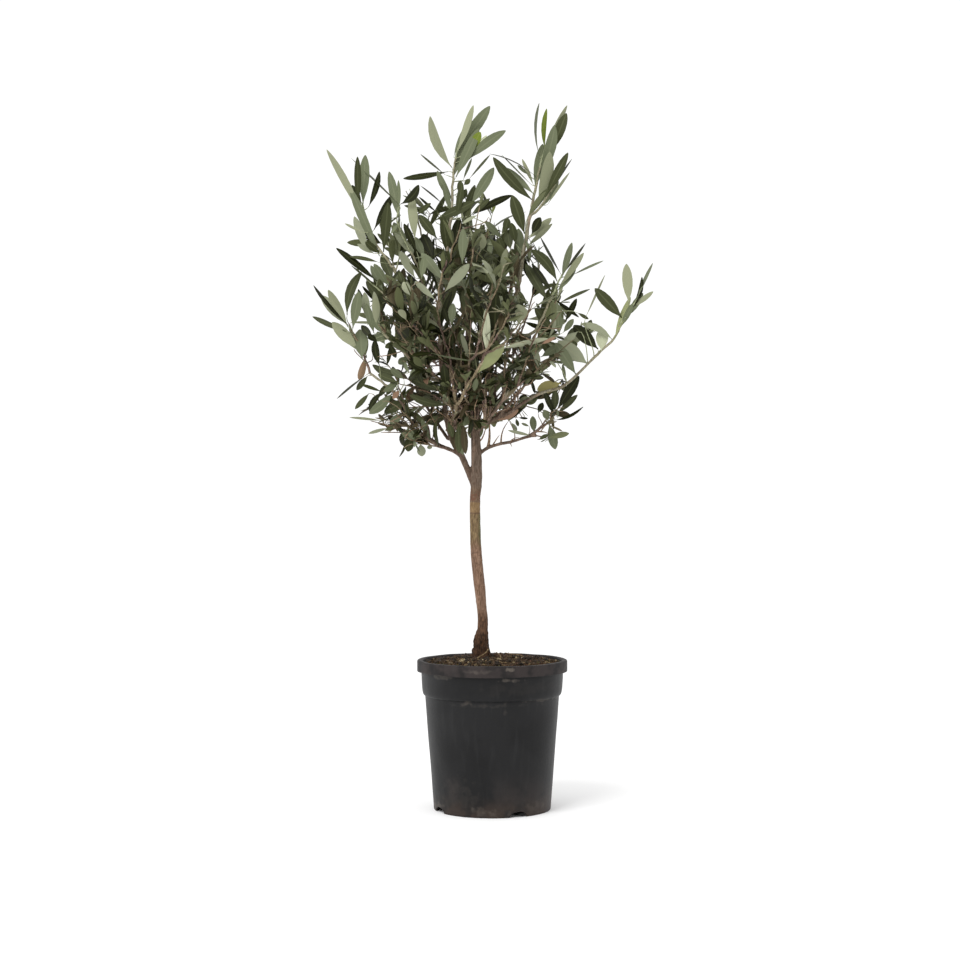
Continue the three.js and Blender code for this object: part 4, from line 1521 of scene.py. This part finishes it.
# %% What should be seen
GLANCE = np.array([0.35, 0.6, 0.85, 1.0])[:, None]  # the parts of a leaf that are looked at
LOOK = np.linspace(0.15, 1, 8)[:, None]  # and of a leaf that stands before the rest
IN_VIEW = ["front_far", "front_high"]  # their shoots and listed leaves stand before the rest
CLEAR = 5  # mm left free round the middle of a listed leaf, or round such a shoot
CLEAR_IN_VIEW = 8  # and round the middle of such a leaf
HALF_LEAF = 1.5  # mm that a window is grown by, for the leaf's own width


def seen_at(points):
    """Where the camera sees points on the plane of the stem: x, z and the points' own y, in mm."""
    x, y, z = points.T / MM
    near = AWAY / (AWAY + y)
    return np.column_stack([MIDDLE + (x - MIDDLE) * near, LEVEL + (z - LEVEL) * near, y])


in_view, clear = [], []
for foot, tip, *_, name in hand_leaves:
    before = short(name) in IN_VIEW
    in_view.append(foot + (tip - foot) * (LOOK if before else GLANCE))
    clear += [CLEAR_IN_VIEW if before else CLEAR] * len(in_view[-1])
for name in IN_VIEW:
    in_view.append(shoots[leaders[MASS + name]].line)
    clear += [CLEAR] * len(in_view[-1])
in_view = seen_at(np.vstack(in_view))
window_x, window_z, window_wide, window_high = np.transpose(WINDOWS)


def spoils_view(foot, tip):
    """Whether a leaf would stand in a window, or in front of what should be seen."""
    across, level, depth = seen_at(foot + (tip - foot) * GLANCE).T[:, :, None]
    off_x = (across - window_x) / (window_wide + HALF_LEAF)
    off_z = (level - window_z) / (window_high + HALF_LEAF)
    if (off_x**2 + off_z**2 < 1).any():
        return True
    x, z, y = in_view.T
    return ((np.hypot(across - x, level - z) < clear) & (depth < y)).any()


print("points kept in view:", len(in_view))

# %% A leaf and its place
OUTSIDE_MOST = 7 * MM  # how far a leaf's tip may pass the masses
# What is tried for a leaf in turn: a share of its length, and how far it swings, seen from the front.
TRIES = [(1, 0), (0.72, 0), (0.9, 0.6), (0.9, -0.6), (0.7, 1.1), (0.7, -1.1), (0.55, 2.2), (0.55, -2.2)]
# How leaves differ: in roll, twist and sideways bow, and in shares of width and of fold.
ROLLS, TWISTS, SICKLES = 0.3, 0.25, 0.03
WIDTHS, FOLDS = (0.88, 1.14), (0.04, 0.3)
leaves = []


def swung(way, angle):
    """A way swung to the right by an angle, as seen from the front."""
    cos, sin = math.cos(angle), math.sin(angle)
    return np.array([way[0] * cos + way[2] * sin, way[1], way[2] * cos - way[0] * sin])


def add_leaf(place, along, face, length, narrow, paint, mass, curl):
    """Adds a leaf that stays in the masses and out of the windows, or none if no try does."""
    for share, swing in TRIES:
        tip = place + swung(along, swing) * length * share
        if not spoils_view(place, tip) and room_at(tip) > -OUTSIDE_MOST:
            break
    else:
        return
    along = swung(along, swing)
    length *= share
    face = unit(face - along * (face @ along))
    roll = luck.normal(0, ROLLS)
    leaves.append({
        "place": place, "along": along, "length": length, "curl": curl, "paint": paint, "mass": mass,
        "face": face * math.cos(roll) + np.cross(along, face) * math.sin(roll),
        "width": length * narrow * luck.uniform(*WIDTHS), "fold": luck.uniform(*FOLDS),
        "twist": luck.normal(0, TWISTS), "sickle": luck.normal(0, SICKLES),
    })


print("tries for each leaf:", len(TRIES))

# %% [markdown]
# Leaves stand in pairs, each pair at right angles to the last. Near the foot of a shoot they spread
# wide, and towards its tip they close up round it. The dark face looks towards the shoot's tip and
# the sky. Every leaf hooks back a little, folds along its rib and has a slight twist.

# %% Leaves in pairs along a shoot
FOOT_BARE = 6 * MM  # of every shoot, at least
TIP_BARE = 3 * MM
LEADER_BARE = 0.42  # the share of a leading shoot that is bare
SPREAD, CLOSING = 48, 27  # degrees that a pair spreads at the foot, and how many fewer at the tip
SPREADS, LIFTS, TURNS = 0.2, 0.25, 0.15  # how much these vary from leaf to leaf and pair to pair
SPRAY_SIZES, LEAF_SIZES, END_SIZES = (0.9, 1.12), (0.84, 1.12), (0.85, 1.1)  # in shares
GAPS = (0.8, 1.25)  # in shares of the habit's gap
LEAST_SIZE, SIZE_GAIN, SIZE_FROM = 0.74, 0.32, 0.15  # leaves grow, then shrink, along a shoot
CURLS, DRY_CURLS, END_CURLS = (0.3, 0.35), (1.4, 0.5), (0.1, 0.15)  # in radians, middle and spread
FACE_RISE, END_FACE_RISE = 0.5, 0.3  # how much a face is turned up to the sky
OWN_PAINT = 0.62  # share of the leaves that have their spray's paint
DRY_SHARE, DRY_TO = 0.012, 0.8  # share of dry leaves, where the vigour is less than this
FRESH_SHARE, FRESH_ABOVE = 0.25, 640 * MM
END_PAIRS = [(0.8, 0.34), (0.42, 0.2)]  # share of the size, and spread in radians


def pair_ways(way, across, turn):
    """The ways out from a shoot of the two leaves of a pair."""
    other = np.cross(way, across)
    for half in (0, math.pi):
        yield across * math.cos(turn + half) + other * math.sin(turn + half)


def add_end_pairs(shoot, across, turn, size, narrow, spray_paint):
    """Adds the small leaves that close up round a shoot's tip."""
    place, way = shoot.line[-1], shoot.ways[-1]
    across = unit(across - way * (across @ way))
    crest = habit_of[shoot.mass] == "crest" and place[2] > FRESH_ABOVE
    young = "fresh" if crest and luck.random() < FRESH_SHARE else spray_paint
    for (share, spread), paint in zip(END_PAIRS, (spray_paint, young)):
        for out in pair_ways(way, across, turn):
            along = unit(way * math.cos(spread) + out * math.sin(spread))
            curl = luck.normal(*END_CURLS)
            long_now = size * share * luck.uniform(*END_SIZES)
            add_leaf(place, along, way + UP * END_FACE_RISE, long_now, narrow, paint, shoot.mass, curl)
        turn += math.pi / 2


def add_pairs(shoot):
    """Adds a shoot's pairs of leaves, from its bare foot to its tip."""
    habit = HABITS[habit_of[shoot.mass]]
    strength = vigour(shoot.line[-1])
    size, narrow, gap, lift = (
        WEAK[key] + (habit[key] - WEAK[key]) * strength for key in ("leaf", "narrow", "gap", "lift")
    )
    size *= MM * luck.uniform(*SPRAY_SIZES)
    names = list(habit["paints"])
    spray_paint = luck.choice(names, p=list(habit["paints"].values()))
    start = shoot.length * (LEADER_BARE if shoot.kind == "leader" else habit["bare"]) + FOOT_BARE
    if shoot.kind == "bare":
        start = shoot.length
    turn = luck.uniform(0, math.pi)
    across = unit(np.cross(shoot.ways[0], luck.normal(0, 1, 3)))
    mark = start
    while mark < shoot.length - TIP_BARE:
        place, beyond = read_line(shoot.line, [mark, mark + 2 * MM])
        way = unit(beyond - place + 1e-9)
        across = unit(across - way * (across @ way))
        share = (mark - start) / max(shoot.length - start, 1e-6)
        spread = math.radians(SPREAD - CLOSING * share)
        long = size * (LEAST_SIZE + SIZE_GAIN * math.sin(math.pi * min(1, SIZE_FROM + share)))
        for out in pair_ways(way, across, turn):
            if luck.random() < habit["lost"]:
                continue
            angle = spread + luck.normal(0, SPREADS)
            along = way * math.cos(angle) + out * math.sin(angle)
            along = unit(along + UP * (lift + luck.normal(0, LIFTS)))
            paint = spray_paint if luck.random() < OWN_PAINT else luck.choice(names)
            curl = luck.normal(*CURLS)
            if luck.random() < DRY_SHARE and strength < DRY_TO:
                paint, curl = "dry", luck.normal(*DRY_CURLS)
            long_now = long * luck.uniform(*LEAF_SIZES)
            add_leaf(place, along, way + UP * FACE_RISE, long_now, narrow, paint, shoot.mass, curl)
        turn += math.pi / 2 + luck.normal(0, TURNS)
        mark += gap * MM * luck.uniform(*GAPS)
    add_end_pairs(shoot, across, turn, size, narrow, spray_paint)


print("pairs that close up round a tip:", len(END_PAIRS))

# %% Leaves dealt by chance
TIPPED_TWIGS = 0.4  # share of the bare twigs that kept the leaves at their tip
for shoot in shoots:
    tipped = shoot.kind == "bare" and luck.random() < TIPPED_TWIGS
    by_hand = shoot.kind == "leader" and short(shoot.mass) in LEFT_TO_CHANCE
    if tipped or shoot.kind in ("leader", "side") and not by_hand:
        add_pairs(shoot)
print("leaves dealt by chance:", len(leaves))

# %% Turning the listed leaves
LEAST_SEEN = 3.2 * MM  # a leaf on edge still shows its fold
FULLER = 1.12
SLIMMEST = 0.17  # least width of a listed leaf, as a share of its length
ON_EDGE = 0.5  # a leaf that shows less of its width than this has its face turned up
ARC_TURN = 8  # an arc turns by this many times its bow, in radians
HAND_CURLS, HAND_FOLDS, HAND_TWISTS = 0.08, (0.04, 0.2), 0.1
TO_CAMERA = np.array([0.0, -1.0, 0.0])

for foot, tip, seen, paint, side, bow, name in hand_leaves:
    length = np.linalg.norm(tip - foot)
    along = (tip - foot) / length
    left = unit(np.array([-along[2], 0, along[0]]))
    seen = max(seen * FULLER, LEAST_SEEN)
    width = max(seen, length * SLIMMEST)
    turned = math.acos(seen / width) * hand_luck.choice([-1, 1])
    towards = unit(TO_CAMERA - along * (TO_CAMERA @ along)) * side
    edge = np.cross(along, towards)
    face = towards * math.cos(turned) + edge * math.sin(turned)
    if seen < width * ON_EDGE and face[2] < 0:
        face = towards * math.cos(turned) - edge * math.sin(turned)
    curl = ARC_TURN * bow * (left @ face) + hand_luck.normal(0, HAND_CURLS)
    hooked = unit(along + face * curl / 2)
    leaves.append({
        "place": foot, "along": hooked, "face": unit(face - hooked * (face @ hooked)),
        "length": length, "width": width, "curl": curl, "fold": hand_luck.uniform(*HAND_FOLDS),
        "twist": hand_luck.normal(0, HAND_TWISTS), "sickle": bow * (left @ np.cross(face, along)),
        "paint": paint, "mass": name,
    })
print("leaves:", len(leaves), {h: sum(habit_of[leaf["mass"]] == h for leaf in leaves) for h in HABITS})

# %% [markdown]
# The leaves' paints are plain colours, dealt out by spray, each with its own underside: from dark
# through grey-green to silver, with a little yellow-green, yellow and dry brown. The brightest paint
# is a painted highlight, for a few leaves in the sun. The rib is paler.

# %% Leaf materials
LEAF_COLOURS = {
    "dark": ((30, 33, 9), (90, 94, 64)),
    "mid": ((60, 64, 38), (106, 110, 80)),
    "grey": ((98, 104, 79), (126, 129, 103)),
    "pale": ((132, 136, 112), (138, 141, 114)),
    "fresh": ((104, 118, 42), (136, 144, 84)),
    "dry": ((142, 113, 92), (130, 108, 86)),
    "turning": ((146, 138, 90), (140, 132, 88)),
    "umber": ((60, 52, 34), (98, 90, 68)),
    "light": ((142, 147, 104), (146, 150, 112)),
    # painted highlight: brighter than a leaf's own colour, for a few leaves in the sun
    "silver": ((204, 208, 178), (172, 176, 148)),
}
RIB_PALER = 0.35  # how far the rib is from the face's colour to the back's
leaf_materials = []
for paint, (upper, under) in LEAF_COLOURS.items():
    rib = [a + (b - a) * RIB_PALER for a, b in zip(upper, under)]
    leaf_materials += [
        plain_material(f"leaf_{paint}_face", upper, 0.5, 0.14),
        plain_material(f"leaf_{paint}_back", under, 0.85, 0.12),
        plain_material(f"leaf_{paint}_rib", rib, 0.6, 0.14),
    ]
PAINT_NUMBER = {paint: number * 3 for number, paint in enumerate(LEAF_COLOURS)}
print("leaf materials:", len(leaf_materials))

# %% Joined leaves
LEAF_THICK = 0.45 * MM
LEAST_CURL = 0.02  # a flatter leaf would divide by nothing
FOLD_POWER = 1.3  # above 1, the fold is softer at the rib


def leaf_points(own):
    """Every point of the given leaves: the model leaf bent, folded, twisted and put in place."""
    place, along, face = (np.array([leaf[key] for leaf in own]) for key in ("place", "along", "face"))
    length, width, curl, fold, twist, sickle = (
        np.array([leaf[key] for leaf in own])[:, None]
        for key in ("length", "width", "curl", "fold", "twist", "sickle")
    )
    at, across, over = LEAF_POINTS.T
    y = across * width
    h = np.abs(across) ** FOLD_POWER * width * fold + over * LEAF_THICK
    turn = twist * at
    y, h = y * np.cos(turn) - h * np.sin(turn), y * np.sin(turn) + h * np.cos(turn)
    y = y + sickle * length * 4 * at * (1 - at)
    curl = np.where(np.abs(curl) < LEAST_CURL, LEAST_CURL, curl)
    lean = curl * at
    x = length * np.sin(lean) / curl + h * np.sin(lean)
    z = -length * (1 - np.cos(lean)) / curl + h * np.cos(lean)
    spots = place[:, None] + x[..., None] * along[:, None]
    spots = spots + y[..., None] * np.cross(face, along)[:, None] + z[..., None] * face[:, None]
    return spots.reshape(-1, 3)


def leaf_piece(name, nodes):
    own = [leaf for leaf in leaves if leaf["mass"] in nodes]
    count = len(LEAF_POINTS)
    faces = copied(LEAF_FACES, count, len(own))
    tints = np.concatenate([PAINT_NUMBER[leaf["paint"]] + FACE_TINTS for leaf in own])
    piece = mesh_piece(name, leaf_points(own), faces, tints, leaf_materials)
    ends = np.empty(len(piece.data.edges) * 2, dtype=int)
    piece.data.edges.foreach_get("vertices", ends)
    sharp = LEAF_MARGIN[ends % count].reshape(-1, 2).all(1)
    piece.data.attributes.new("sharp_edge", "BOOLEAN", "EDGE").data.foreach_set("value", sharp)
    finish_piece(piece, name, nodes)


print("points in a leaf:", len(LEAF_POINTS))

# %% Sprays of leaves
ZONES = {
    "leaves_top": ["top_centre", "top_right", "top_left", "inner_top_left"],
    "leaves_left": ["left_high", "left_far", "left_low", "left_tuft"],
    "leaves_right": ["right_far", "right_high", "right_mid", "right_low"],
    "leaves_heart": [
        "heart_high", "heart_low", "body_left", "body_right", "body_low_left", "body_low_right",
    ],
    "leaves_front": ["front_high", "front_left", "front_right", "front_low", "front_far"],
    "leaves_back": ["back_high", "back_left", "back_right", "back_low", "back_far"],
}
for name, parts in ZONES.items():
    leaf_piece(name, [MASS + part for part in parts])

# %% [markdown]
# ## The pot
#
# Nursery pots like this are moulded in thin black plastic. The wall tapers, steps out to a wider band
# near the top so that pots can be stacked, and ends in a lip that turns down like a collar. A turned
# profile would do, but here a ring is drawn up from the foot and stretched at each height where the
# mould has an edge, then down the inside again, so the wall has its real thickness. The floor is
# raised inside a skirt, and four arches cut through the skirt let water out. A slow, slight waviness
# keeps the pot from looking machined.

# %% Pot rings
_, pot_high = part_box("pot")
PROUD = 1.6  # how far the moulded edges stand above the frame's
POT_HEIGHT = pot_high.z / MM + PROUD
LIP_RADIUS = pot_high.x / MM
FOOT_RADIUS = 74
WAIST_RADIUS = 85  # where the tapered wall ends under the band
BAND_RADIUS = 90
BAND_FOOT = 143 + PROUD  # height where the wall steps out
BAND_TOP = 179 + PROUD  # height inside the collar where the band meets the lip
LIP_FOOT = 173 + PROUD
WALL = 1.8
LIP_EDGE, FOOT_EDGE = 1.2, 0.6  # how much is cut off the edges of the lip and of the foot
UNDERSIDE = 7.6  # the floor is raised inside a skirt, which the drain arches cut through
POT_FLOOR = 9.4
POT_SIDES = 144
WALL_RINGS = 10

SKIRT_RADIUS = FOOT_RADIUS - WALL
wall = [
    (FOOT_RADIUS + (WAIST_RADIUS - FOOT_RADIUS) * share, 0.8 + (BAND_FOOT - 1.2) * share)
    for share in np.linspace(0, 1, WALL_RINGS + 1)
]
BAND_SWELL = [  # radius, height above the band's foot
    (86.4, 0), (87.5, 1.6), (88.2, 4), (88.8, 8), (89.4, 18),
]
outside = [
    (SKIRT_RADIUS, UNDERSIDE), (SKIRT_RADIUS, 0), (FOOT_RADIUS - FOOT_EDGE, 0), *wall,
    *[(radius, BAND_FOOT + rise) for radius, rise in BAND_SWELL],
    (BAND_RADIUS, BAND_TOP), (LIP_RADIUS - WALL, BAND_TOP), (LIP_RADIUS - WALL, LIP_FOOT),
    (LIP_RADIUS, LIP_FOOT), (LIP_RADIUS, POT_HEIGHT - LIP_EDGE), (LIP_RADIUS - LIP_EDGE, POT_HEIGHT),
]
inside = [
    (89.4, POT_HEIGHT), (BAND_RADIUS - WALL, POT_HEIGHT - LIP_EDGE), (86.8 - WALL, BAND_FOOT + 3.6),
    (85.2 - WALL, BAND_FOOT - 1.2), (SKIRT_RADIUS, POT_FLOOR),
]
print("rings outside:", len(outside), "inside:", len(inside))

# %% The pot drawn up
def drawn_up(name, rings):
    """A closed turned shape: a filled ring, extruded and stretched from each ring to the next."""
    start_piece()
    radius, height = rings[0]
    bpy.ops.mesh.primitive_circle_add(
        vertices=POT_SIDES, radius=radius * MM, location=(0, 0, height * MM), fill_type="NGON"
    )
    piece = bpy.context.object
    piece.name = name
    edit_all(piece)
    for (last_radius, last_height), (radius, height) in zip(rings, rings[1:]):
        wider = radius / last_radius
        extrude_on((0, 0, (height - last_height) * MM), (wider, wider, 1), (0, 0, height * MM))
    close_up()
    return piece


pot = drawn_up("pot_body", [*outside, *inside])
EDGE_ANGLE = math.radians(28)  # sharper edges than this are rounded
put_modifier(pot, "BEVEL", width=0.5 * MM, segments=2, limit_method="ANGLE", angle_limit=EDGE_ANGLE)
height_group(pot, "above_foot", 40 * MM, 6 * MM)
relief(pot, "waviness", "CLOUDS", (0.06, 0.06, 0.09), 1.5 * MM, "above_foot")
print("pot faces before the arches:", len(pot.data.polygons))

# %% Drain arches
NOTCHES = 4
NOTCH_FIRST = -64  # bearing in degrees
NOTCH_WIDTH, NOTCH_HEIGHT, NOTCH_REACH = 24, 7.2, 16

for i in range(NOTCHES):
    bearing = math.radians(NOTCH_FIRST + 360 / NOTCHES * i)
    start_piece()
    bpy.ops.mesh.primitive_cylinder_add(
        vertices=40, radius=NOTCH_WIDTH / 2 * MM, depth=NOTCH_REACH * MM,
        location=(FOOT_RADIUS * MM * math.cos(bearing), FOOT_RADIUS * MM * math.sin(bearing), 0),
        rotation=(math.radians(90), 0, bearing + math.radians(90)),
    )
    cutter = bpy.context.object
    cutter.scale = (1, 2 * NOTCH_HEIGHT / NOTCH_WIDTH, 1)
    bpy.ops.object.transform_apply(location=False, rotation=False, scale=True)
    put_modifier(pot, "BOOLEAN", operation="DIFFERENCE", solver="EXACT", object=cutter)
    bpy.data.objects.remove(cutter)
pick_only(pot)
bpy.ops.object.shade_smooth_by_angle(angle=math.radians(40))
print("pot faces:", len(pot.data.polygons))

# %% [markdown]
# The plastic is charcoal with a dull sheen that only shows where the wall curves away. The collar has
# a brown, dusty cast. Dust and dried mud lie low on the wall, in faint drips, and a few pale scuffs
# sit where pots rub when they are stacked. Painted shade darkens a line under the lip and another
# under the band's step, and a few painted highlights lie along the band's foot.

# %% Black plastic
plastic, shader, place = new_material("black_plastic", 0.5, 0.2)
across, depth, height = (place.axis(number) for number in range(3))
cloud = place.noise(16, 4)
smudge = place.noise(48, 3)
blotch = place.noise(130, 4)
grit = place.noise(420, 5)
drips = place.drawn_out(0.12).noise(130, 4)
reach = (across * across + depth * depth).root()
# painted shade: a dark line under the lip, and one under the band's step where the band stands out
shade_under_lip = height.step(LIP_FOOT - 4, LIP_FOOT - 2)
shade_under_band = height.step(BAND_FOOT - 3, BAND_FOOT - 1) * height.step(BAND_FOOT + 0.5, BAND_FOOT - 0.5)
collar = height.step(LIP_FOOT - 0.5, LIP_FOOT + 0.2) * reach.step(87, 89)


def scuff_and_highlight(x, z, half_width, half_height, strength):
    """A pale mark on the pot's front, broken up by grit: wear, but a painted highlight at the band's
    foot. Places and sizes in mm.
    """
    off_x = (across - x) * (1 / half_width)
    off_z = (height - z) * (1 / half_height)
    wander = (smudge - 0.5) * 2.4 + (blotch - 0.5) * 4
    inside_it = (off_x * off_x + off_z * off_z + wander).step(1, -0.3)
    return inside_it * depth.step(0, -10) * (0.5 + grit) * strength


# across, height, half width and half height in mm, then strength: worn scuffs, but the rows at (15,
# 136), (0, 139) and (60, 144) are painted highlights along the band's foot
SCUFFS_AND_HIGHLIGHTS = [
    (21, 185, 9, 3, 0.34), (-18, 182, 20, 4, 0.16), (19, 171, 18, 3, 0.24), (-62, 172, 14, 4, 0.16),
    (-34, 142, 12, 4, 0.13), (15, 136, 4, 10, 0.06), (-44, 28, 26, 24, 0.035), (-4, 7, 26, 7, 0.14),
    (52, 10, 16, 10, 0.08), (60, 144, 26, 2.4, 0.12), (-68, 9, 7, 5, 0.16), (40, 160, 60, 10, 0.02),
    (0, 139, 60, 3, 0.05),
]
COATS = [  # where each colour lies, and the colour
    # painted shade under the lip and under the band's step
    ((shade_under_lip + shade_under_band) * (0.4 + smudge * 0.8), (6, 6, 7)),
    (collar * (0.25 + smudge.step(0.36, 0.6) * 0.75), (46, 40, 39)),
    (height.step(30, 4) * (0.2 + smudge.step(0.4, 0.6) * 0.5), (58, 47, 40)),
    (cloud.step(0.5, 0.62) * height.step(60, 15) * 0.4, (58, 50, 47)),
    (drips.step(0.5, 0.75) * 0.08, (66, 66, 66)),
    # pale worn scuffs, and painted highlights along the band's foot
    *[(scuff_and_highlight(*row), (132, 122, 112)) for row in SCUFFS_AND_HIGHLIGHTS],
]
colour = cloud.step(0.38, 0.62).mix(srgb(13, 13, 14), srgb(21, 21, 22))
for mask, coat in COATS:
    colour = mask.mix(colour, srgb(*coat))
put_colours(shader, colour, 0.35, 0.0004, grit * 0.5 + drips)
colour.feed(shader.inputs["Roughness"], 0.4 + grit * 0.16 + collar * 0.15)
pot.data.materials.append(plastic)
finish_piece(pot, "nursery_pot", ["pot"])

# %% [markdown]
# ## The compost
#
# The compost is heaped a little round the stem. It is the same kind of drawn-up shape as the pot, so
# it fills it, with lumps pushed out of its top. Loose crumbs of bark, pale grit, moss and root fibres
# lie on it: a crumb is modelled once and strewn in joined meshes, one for each kind.

# %% Compost mound
SOIL_EDGE = 184
SOIL_CROWN = 189.6
SOIL_CROWN_RADIUS = 34
SOIL_RADIUS = 87.2
SOIL_MIDDLE = 3  # radius of the last ring
SOIL_SLOPE = 1.5  # above 1, it falls more steeply towards the wall
SOIL_RINGS = 24
mound = [
    (SKIRT_RADIUS - 0.5, POT_FLOOR + 0.4), (82.8, BAND_FOOT - 2), (SOIL_RADIUS, SOIL_EDGE - 2),
]
for share in np.arange(SOIL_RINGS + 1) / SOIL_RINGS:
    radius = SOIL_RADIUS + (SOIL_MIDDLE - SOIL_RADIUS) * share
    fall = max(0, (radius - SOIL_CROWN_RADIUS) / (SOIL_RADIUS - SOIL_CROWN_RADIUS))
    mound.append((radius, SOIL_CROWN - (SOIL_CROWN - SOIL_EDGE) * fall**SOIL_SLOPE))
soil = drawn_up("compost", mound)
height_group(soil, "top", (SOIL_EDGE + 2) * MM, (SOIL_EDGE - 1) * MM)
relief(soil, "lumps", "CLOUDS", (0.011, 0.011, 0.011), 5 * MM, "top")
relief(soil, "crumble", "CLOUDS", (0.0035, 0.0035, 0.0035), 2.4 * MM, "top")

compost, shader, place = new_material("compost", 0.95, 0.1)
lumps = place.noise(70, 5)
crumbs = place.noise(520, 5)
colour = crumbs.step(0.38, 0.62).mix(srgb(26, 18, 10), srgb(70, 52, 31))
colour = (lumps.step(0.52, 0.64) * 0.5).mix(colour, srgb(80, 54, 37))
colour = (lumps.step(0.46, 0.38) * crumbs.step(0.42, 0.6) * 0.7).mix(colour, srgb(72, 64, 32))
put_colours(shader, colour, 0.8, 0.0012, crumbs)
soil.data.materials.append(compost)
pick_only(soil)
bpy.ops.object.shade_smooth()
finish_piece(soil, "compost_mound", ["soil"])

# %% The crumb
CRUMB_UP = 0.2  # how much of its size a crumb's middle lies above the ground
ABOVE = 0.3  # higher than the compost

start_piece()
bpy.ops.mesh.primitive_ico_sphere_add(subdivisions=1, radius=1)
crumb = bpy.context.object
edit_all(crumb)
bpy.ops.transform.vertex_random(offset=0.25, seed=3)
leave_edit()
CRUMB_POINTS, CRUMB_FACES = taken_apart(crumb)
soil_tree = BVHTree.FromPolygons(
    [vertex.co for vertex in soil.data.vertices], [tuple(f.vertices) for f in soil.data.polygons]
)
strew_luck = np.random.default_rng(7)


def ground(x, y):
    """The height of the compost at a place."""
    return soil_tree.ray_cast(Vector((x, y, ABOVE)), Vector((0, 0, -1)))[0].z


def strewn_place(near_edge=0):
    """A random place on the compost: anywhere, or the nearer its edge the larger near_edge is."""
    bearing = strew_luck.uniform(0, 2 * math.pi)
    radius = (SOIL_RADIUS - 1.5) * MM * strew_luck.uniform(0.02, 1) ** (0.5 / (1 + near_edge))
    return radius * math.cos(bearing), radius * math.sin(bearing)


def strew(name, rows, flat, dark, light):
    """A joined mesh of flattened crumbs, one for each row: place across, place deep and size."""
    places = []
    for x, y, size in rows:
        turn = Quaternion(strew_luck.normal(0, 1, 4)).normalized().to_matrix()
        shape = CRUMB_POINTS * size * (1, strew_luck.uniform(0.5, 0.9), flat)
        places.append(shape @ np.array(turn).T + (x, y, ground(x, y) + size * CRUMB_UP))
    faces = copied(CRUMB_FACES, len(CRUMB_POINTS), len(rows))
    paints = [twig_material(name, dark, light)]
    piece = mesh_piece(name, np.vstack(places), faces, [0] * len(faces), paints)
    finish_piece(piece, name)


print("crumb:", len(CRUMB_FACES), "faces")

# %% Crumbs strewn on the compost
STREWN = [  # name, how many, size from and to in mm, nearness to the edge, flatness, dark and light
    ("bark_crumbs", 460, 1.0, 3.4, 0, 0.5, (28, 20, 12), (74, 55, 35)),
    ("dark_chips", 130, 2.4, 5.6, 0, 0.4, (24, 18, 11), (48, 36, 23)),
    ("tan_chips", 42, 1.6, 4.4, 0, 0.35, (66, 54, 36), (112, 95, 68)),
    ("red_crumbs", 90, 1.0, 3.0, 0, 0.5, (62, 42, 30), (90, 64, 45)),
    ("pale_grit", 12, 0.9, 2.2, 0.3, 0.8, (150, 136, 110), (200, 188, 164)),
    ("moss_bits", 120, 0.8, 2.6, 2.5, 0.4, (44, 42, 20), (76, 70, 38)),
]
for name, count, least, most, near_edge, *looks in STREWN:
    rows = [
        (*strewn_place(near_edge), strew_luck.uniform(least, most) * MM) for _ in range(count)
    ]
    strew(name, rows, *looks)

# %% Clods round the stem
CLODS = [  # across, deep and radius in mm
    (-34, 14, 5), (-27, 20, 5.5), (-31, 4, 4), (12, 22, 6), (20, 26, 5.5), (27, 22, 4.5), (8, 14, 5),
    (36, 30, 5), (44, 20, 4.5), (-44, 24, 4), (16, 2, 4.5), (-22, -14, 4), (52, 8, 4), (4, 30, 5),
]
CHUNKS = [  # pale pieces of bark
    (-37, -28, 4.5), (-30, -44, 3), (-41, -36, 3), (-12, -30, 3.4), (9, -22, 4), (14, -34, 3),
    (30, -8, 3.6), (-52, 4, 3), (26, -46, 2.6), (-18, 18, 4),
]
strew("clods", np.array(CLODS) * MM, 0.8, (32, 22, 14), (76, 54, 34))
strew("chunks", np.array(CHUNKS) * MM, 0.5, (96, 82, 58), (158, 144, 112))

# %% Root fibres
FIBRES = 60
FIBRE_STEPS, FIBRE_STEP = 6, 2.4 * MM
ROOTS = [  # radius, then the points passed, all in mm
    (0.8, [(-19, -19, 192), (-14, -18, 195), (-10, -17, 197), (-7, -15, 200), (-5, -13, 203)]),
    (0.6, [(-44, -24, 189), (-39, -23, 191), (-35, -25, 191), (-31, -28, 188.5)]),
    (0.8, [(5, 4, 197), (9, 0, 195), (11, -6, 192), (10, -12, 189)]),
    (0.6, [(16, 10, 196), (24, 6, 195), (33, 8, 194), (41, 4, 191)]),
]
tubes = [(np.array(points) * MM, [radius * MM] * len(points)) for radius, points in ROOTS]
for i in range(FIBRES):
    x, y = strewn_place()
    if i % 3 == 0:
        x, y = x * 0.3 - 0.01, y * 0.3  # every third lies near the stem
    heading = strew_luck.uniform(0, 2 * math.pi)
    line = []
    while len(line) < FIBRE_STEPS and (not line or math.hypot(x, y) <= (SOIL_RADIUS - 1) * MM):
        line.append((x, y, ground(x, y) + strew_luck.uniform(0.3, 1.6) * MM))
        heading += strew_luck.normal(0, 0.5)
        x, y = x + math.cos(heading) * FIBRE_STEP, y + math.sin(heading) * FIBRE_STEP
    if len(line) > 2:
        tubes.append((np.array(line), [strew_luck.uniform(0.3, 0.6) * MM] * len(line)))
root_paint = twig_material("root_fibre", (86, 68, 46), (136, 117, 86))
finish_piece(joined_tubes("root_fibres", tubes, [root_paint]), "root_fibres")

# %% [markdown]
# ## The last measure
#
# The finished looks should fill the frame's own box, no more than a few millimetres past it.

# %% The box of the looks
low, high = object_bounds()
print("looks", [round(c, 3) for c in (*low, *high)])
